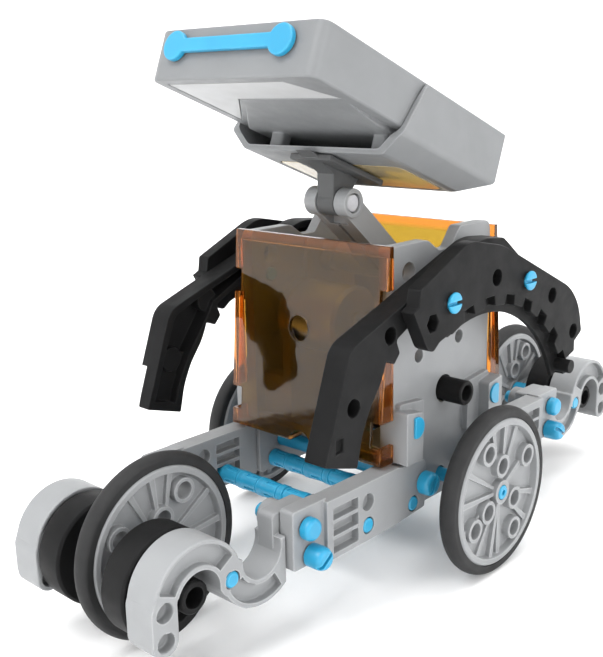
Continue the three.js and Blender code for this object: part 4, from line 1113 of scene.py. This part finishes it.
def panel_tray():
    half, end = PANEL_HALF + GAP + SHELL, PANEL_L + GAP + SHELL

    def section(x, low):
        return [(-x, 0.8), (-x, low - 5.2, 1), (-x + 5.4, low, 1), (x - 5.4, low, 1),
                (x, low - 5.2, 1), (x, 0.8)]

    outer = common(panel_prism(section(half, TRAY_DROP), (TRAY_FROM - 2, end + 1)), panel_side([
        (TRAY_FROM, TRAY_DROP + 1), (end - 10, TRAY_DROP + 1), (end - 10, TRAY_DROP),
        (end, 14.6, 1), (end, 0), (TRAY_FROM + 4.5, 0, 3), (TRAY_FROM + 1.4, 8, 2),
        (TRAY_FROM - 1.5, 15.5, 1)], (-half - 1, half + 1)))
    inner = common(
        panel_prism(section(half - SHELL, TRAY_DROP - SHELL), (TRAY_FROM - 4, end + 1)),
        panel_side([(TRAY_FROM - 4, TRAY_DROP), (end - 10.6, TRAY_DROP),
                    (end - 10.6, TRAY_DROP - SHELL), (end - SHELL, 13.8), (end - SHELL, -1),
                    (TRAY_FROM - 4, -1)], (-half - 1, half + 1)))
    seat = slab(rectangle(21.5, 44, 65, 3), (TRAY_DROP - 0.6, TRAY_DROP + 1))
    return cut(outer, inner, seat)


def solar_cell():
    half = PANEL_HALF - SHELL - GAP
    return slab(rectangle(half, SHELL + GAP, PANEL_L - SHELL - GAP, 1.8), (0.3, 1.9))


def panel_bar():
    reach, centre, end_r, half, offset = 17.9, 4.9, 3.7, 1.7, -1.2
    front = (-1.9, -GAP)
    bar = panel_prism([(offset - reach, centre - half), (offset + reach, centre - half),
                       (offset + reach, centre + half), (offset - reach, centre + half)], front)
    ends = []
    for side in (-1, 1):
        ring = [(offset + side * reach + end_r * math.cos(a * math.pi / 20),
                 centre + end_r * math.sin(a * math.pi / 20)) for a in range(40)]
        ends.append(panel_prism(ring, front))
    return join(bar, ends)


def window_plate():
    return slab(rectangle(21.2, 44.3, 64.7, 2.8), (TRAY_DROP - 0.55, TRAY_DROP - 0.02))


# Pale plate set in the case's underside recess: it stands for light reflected in the recess, a
# painted reflection.
def label_plate():
    return slab([(-23.7, 3.3), (15.8, 3.3), (23.5, 13.7), (-9.1, 13.7), (-23.7, 29.5)],
                (PANEL_T - 0.55, PANEL_T - 0.05))


stand_for(panel_case(), "panel_case", "panel", PANEL_SHADED_GREY, edge=0.6, segments=3)
stand_for(panel_tray(), "panel_tray", "panel", PANEL_SHADED_GREY, edge=0.4, segments=3)
stand_for(solar_cell(), "solar_cell", "panel", CELL, edge=0.2)
stand_for(panel_bar(), "panel_bar", "panel", BLUE, edge=0.4, segments=3)
finish(window_plate(), "tray_window", "panel", PALE_AMBER, edge=0.15)
finish(label_plate(), "case_painted_reflection", "panel", REFLECTION_PALE_GREY, edge=0.1)

for left_over in list(scratch.objects):
    bpy.data.objects.remove(left_over)
bpy.data.collections.remove(scratch)

# ---------------------------- stage, light and camera

def backdrop():
    """A pale round floor that curves up into a low wall all round, in metres."""
    reach, bend, wall, count = 1.6, 0.9, 1.8, 64
    profile = [(reach + bend * math.sin(math.radians(a)), bend - bend * math.cos(math.radians(a)))
               for a in range(0, 91, 9)] + [(reach + bend, wall)]
    points = [(0.0, 0.0, 0.0)]
    for radius, height in profile:
        points += [(*polar((0, 0), radius, 360 * i / count), height) for i in range(count)]
    faces = [(0, 1 + i, 1 + (i + 1) % count) for i in range(count)]
    for row in range(len(profile) - 1):
        low, high = 1 + row * count, 1 + (row + 1) * count
        faces += [(low + i, high + i, high + (i + 1) % count, low + (i + 1) % count)
                  for i in range(count)]
    mesh = bpy.data.meshes.new("floor")
    mesh.from_pydata(points, [], faces)
    mesh.shade_smooth()
    floor = bpy.data.objects.new("floor", mesh)
    bpy.context.scene.collection.objects.link(floor)
    material, tree, surface = shader("floor")
    colour = blended(tree, noise_in(tree, 1.2, 2.0), (0.95, 0.95, 0.95), (0.97, 0.97, 0.97))
    tree.links.new(colour, surface.inputs["Base Color"])
    put(surface, {"Roughness": 0.9, "Specular IOR Level": 0.1})
    mesh.materials.append(material)


backdrop()

world = bpy.data.worlds.new("studio")
bpy.context.scene.world = world
world.use_nodes = True
put(world.node_tree.nodes["Background"], {"Color": (1, 1, 1, 1), "Strength": 0.9})


def softbox(name, where, size, power):
    lamp = bpy.data.lights.new(name, "AREA")
    lamp.shape, lamp.size, lamp.size_y, lamp.energy = "RECTANGLE", size[0], size[1], power
    holder = bpy.data.objects.new(name, lamp)
    holder.location = where
    aim = Vector((0, 0, 0.06)) - Vector(where)
    holder.rotation_euler = aim.to_track_quat("-Z", "Y").to_euler()
    bpy.context.scene.collection.objects.link(holder)


softbox("key", (-0.35, -1.35, 2.0), (1.3, 1.1), 32.0)
softbox("side", (1.9, 0.0, 1.1), (1.1, 1.3), 13.0)
softbox("top", (0.0, 0.4, 2.3), (1.8, 1.8), 32.0)

lens = bpy.data.cameras.new("camera")
lens.sensor_width = 36.0
lens.lens = 52.89
lens.clip_start, lens.clip_end = 0.01, 50.0
camera = bpy.data.objects.new("camera", lens)
camera_at = (0.16972, -0.20884, 0.12870)
azimuth, elevation, roll = (math.radians(a) for a in (43.1, 14.17, -1.16))
back = Vector((math.sin(azimuth) * math.cos(elevation), -math.cos(azimuth) * math.cos(elevation),
               math.sin(elevation)))
right = Vector((math.cos(azimuth), math.sin(azimuth), 0))
up = back.cross(right)
axes = Matrix((right * math.cos(roll) + up * math.sin(roll),
               up * math.cos(roll) - right * math.sin(roll), back)).transposed()
camera.matrix_world = Matrix.Translation(camera_at) @ axes.to_4x4()
bpy.context.scene.collection.objects.link(camera)
bpy.context.scene.camera = camera
bpy.context.scene.view_settings.view_transform = "Standard"

bpy.context.view_layer.update()
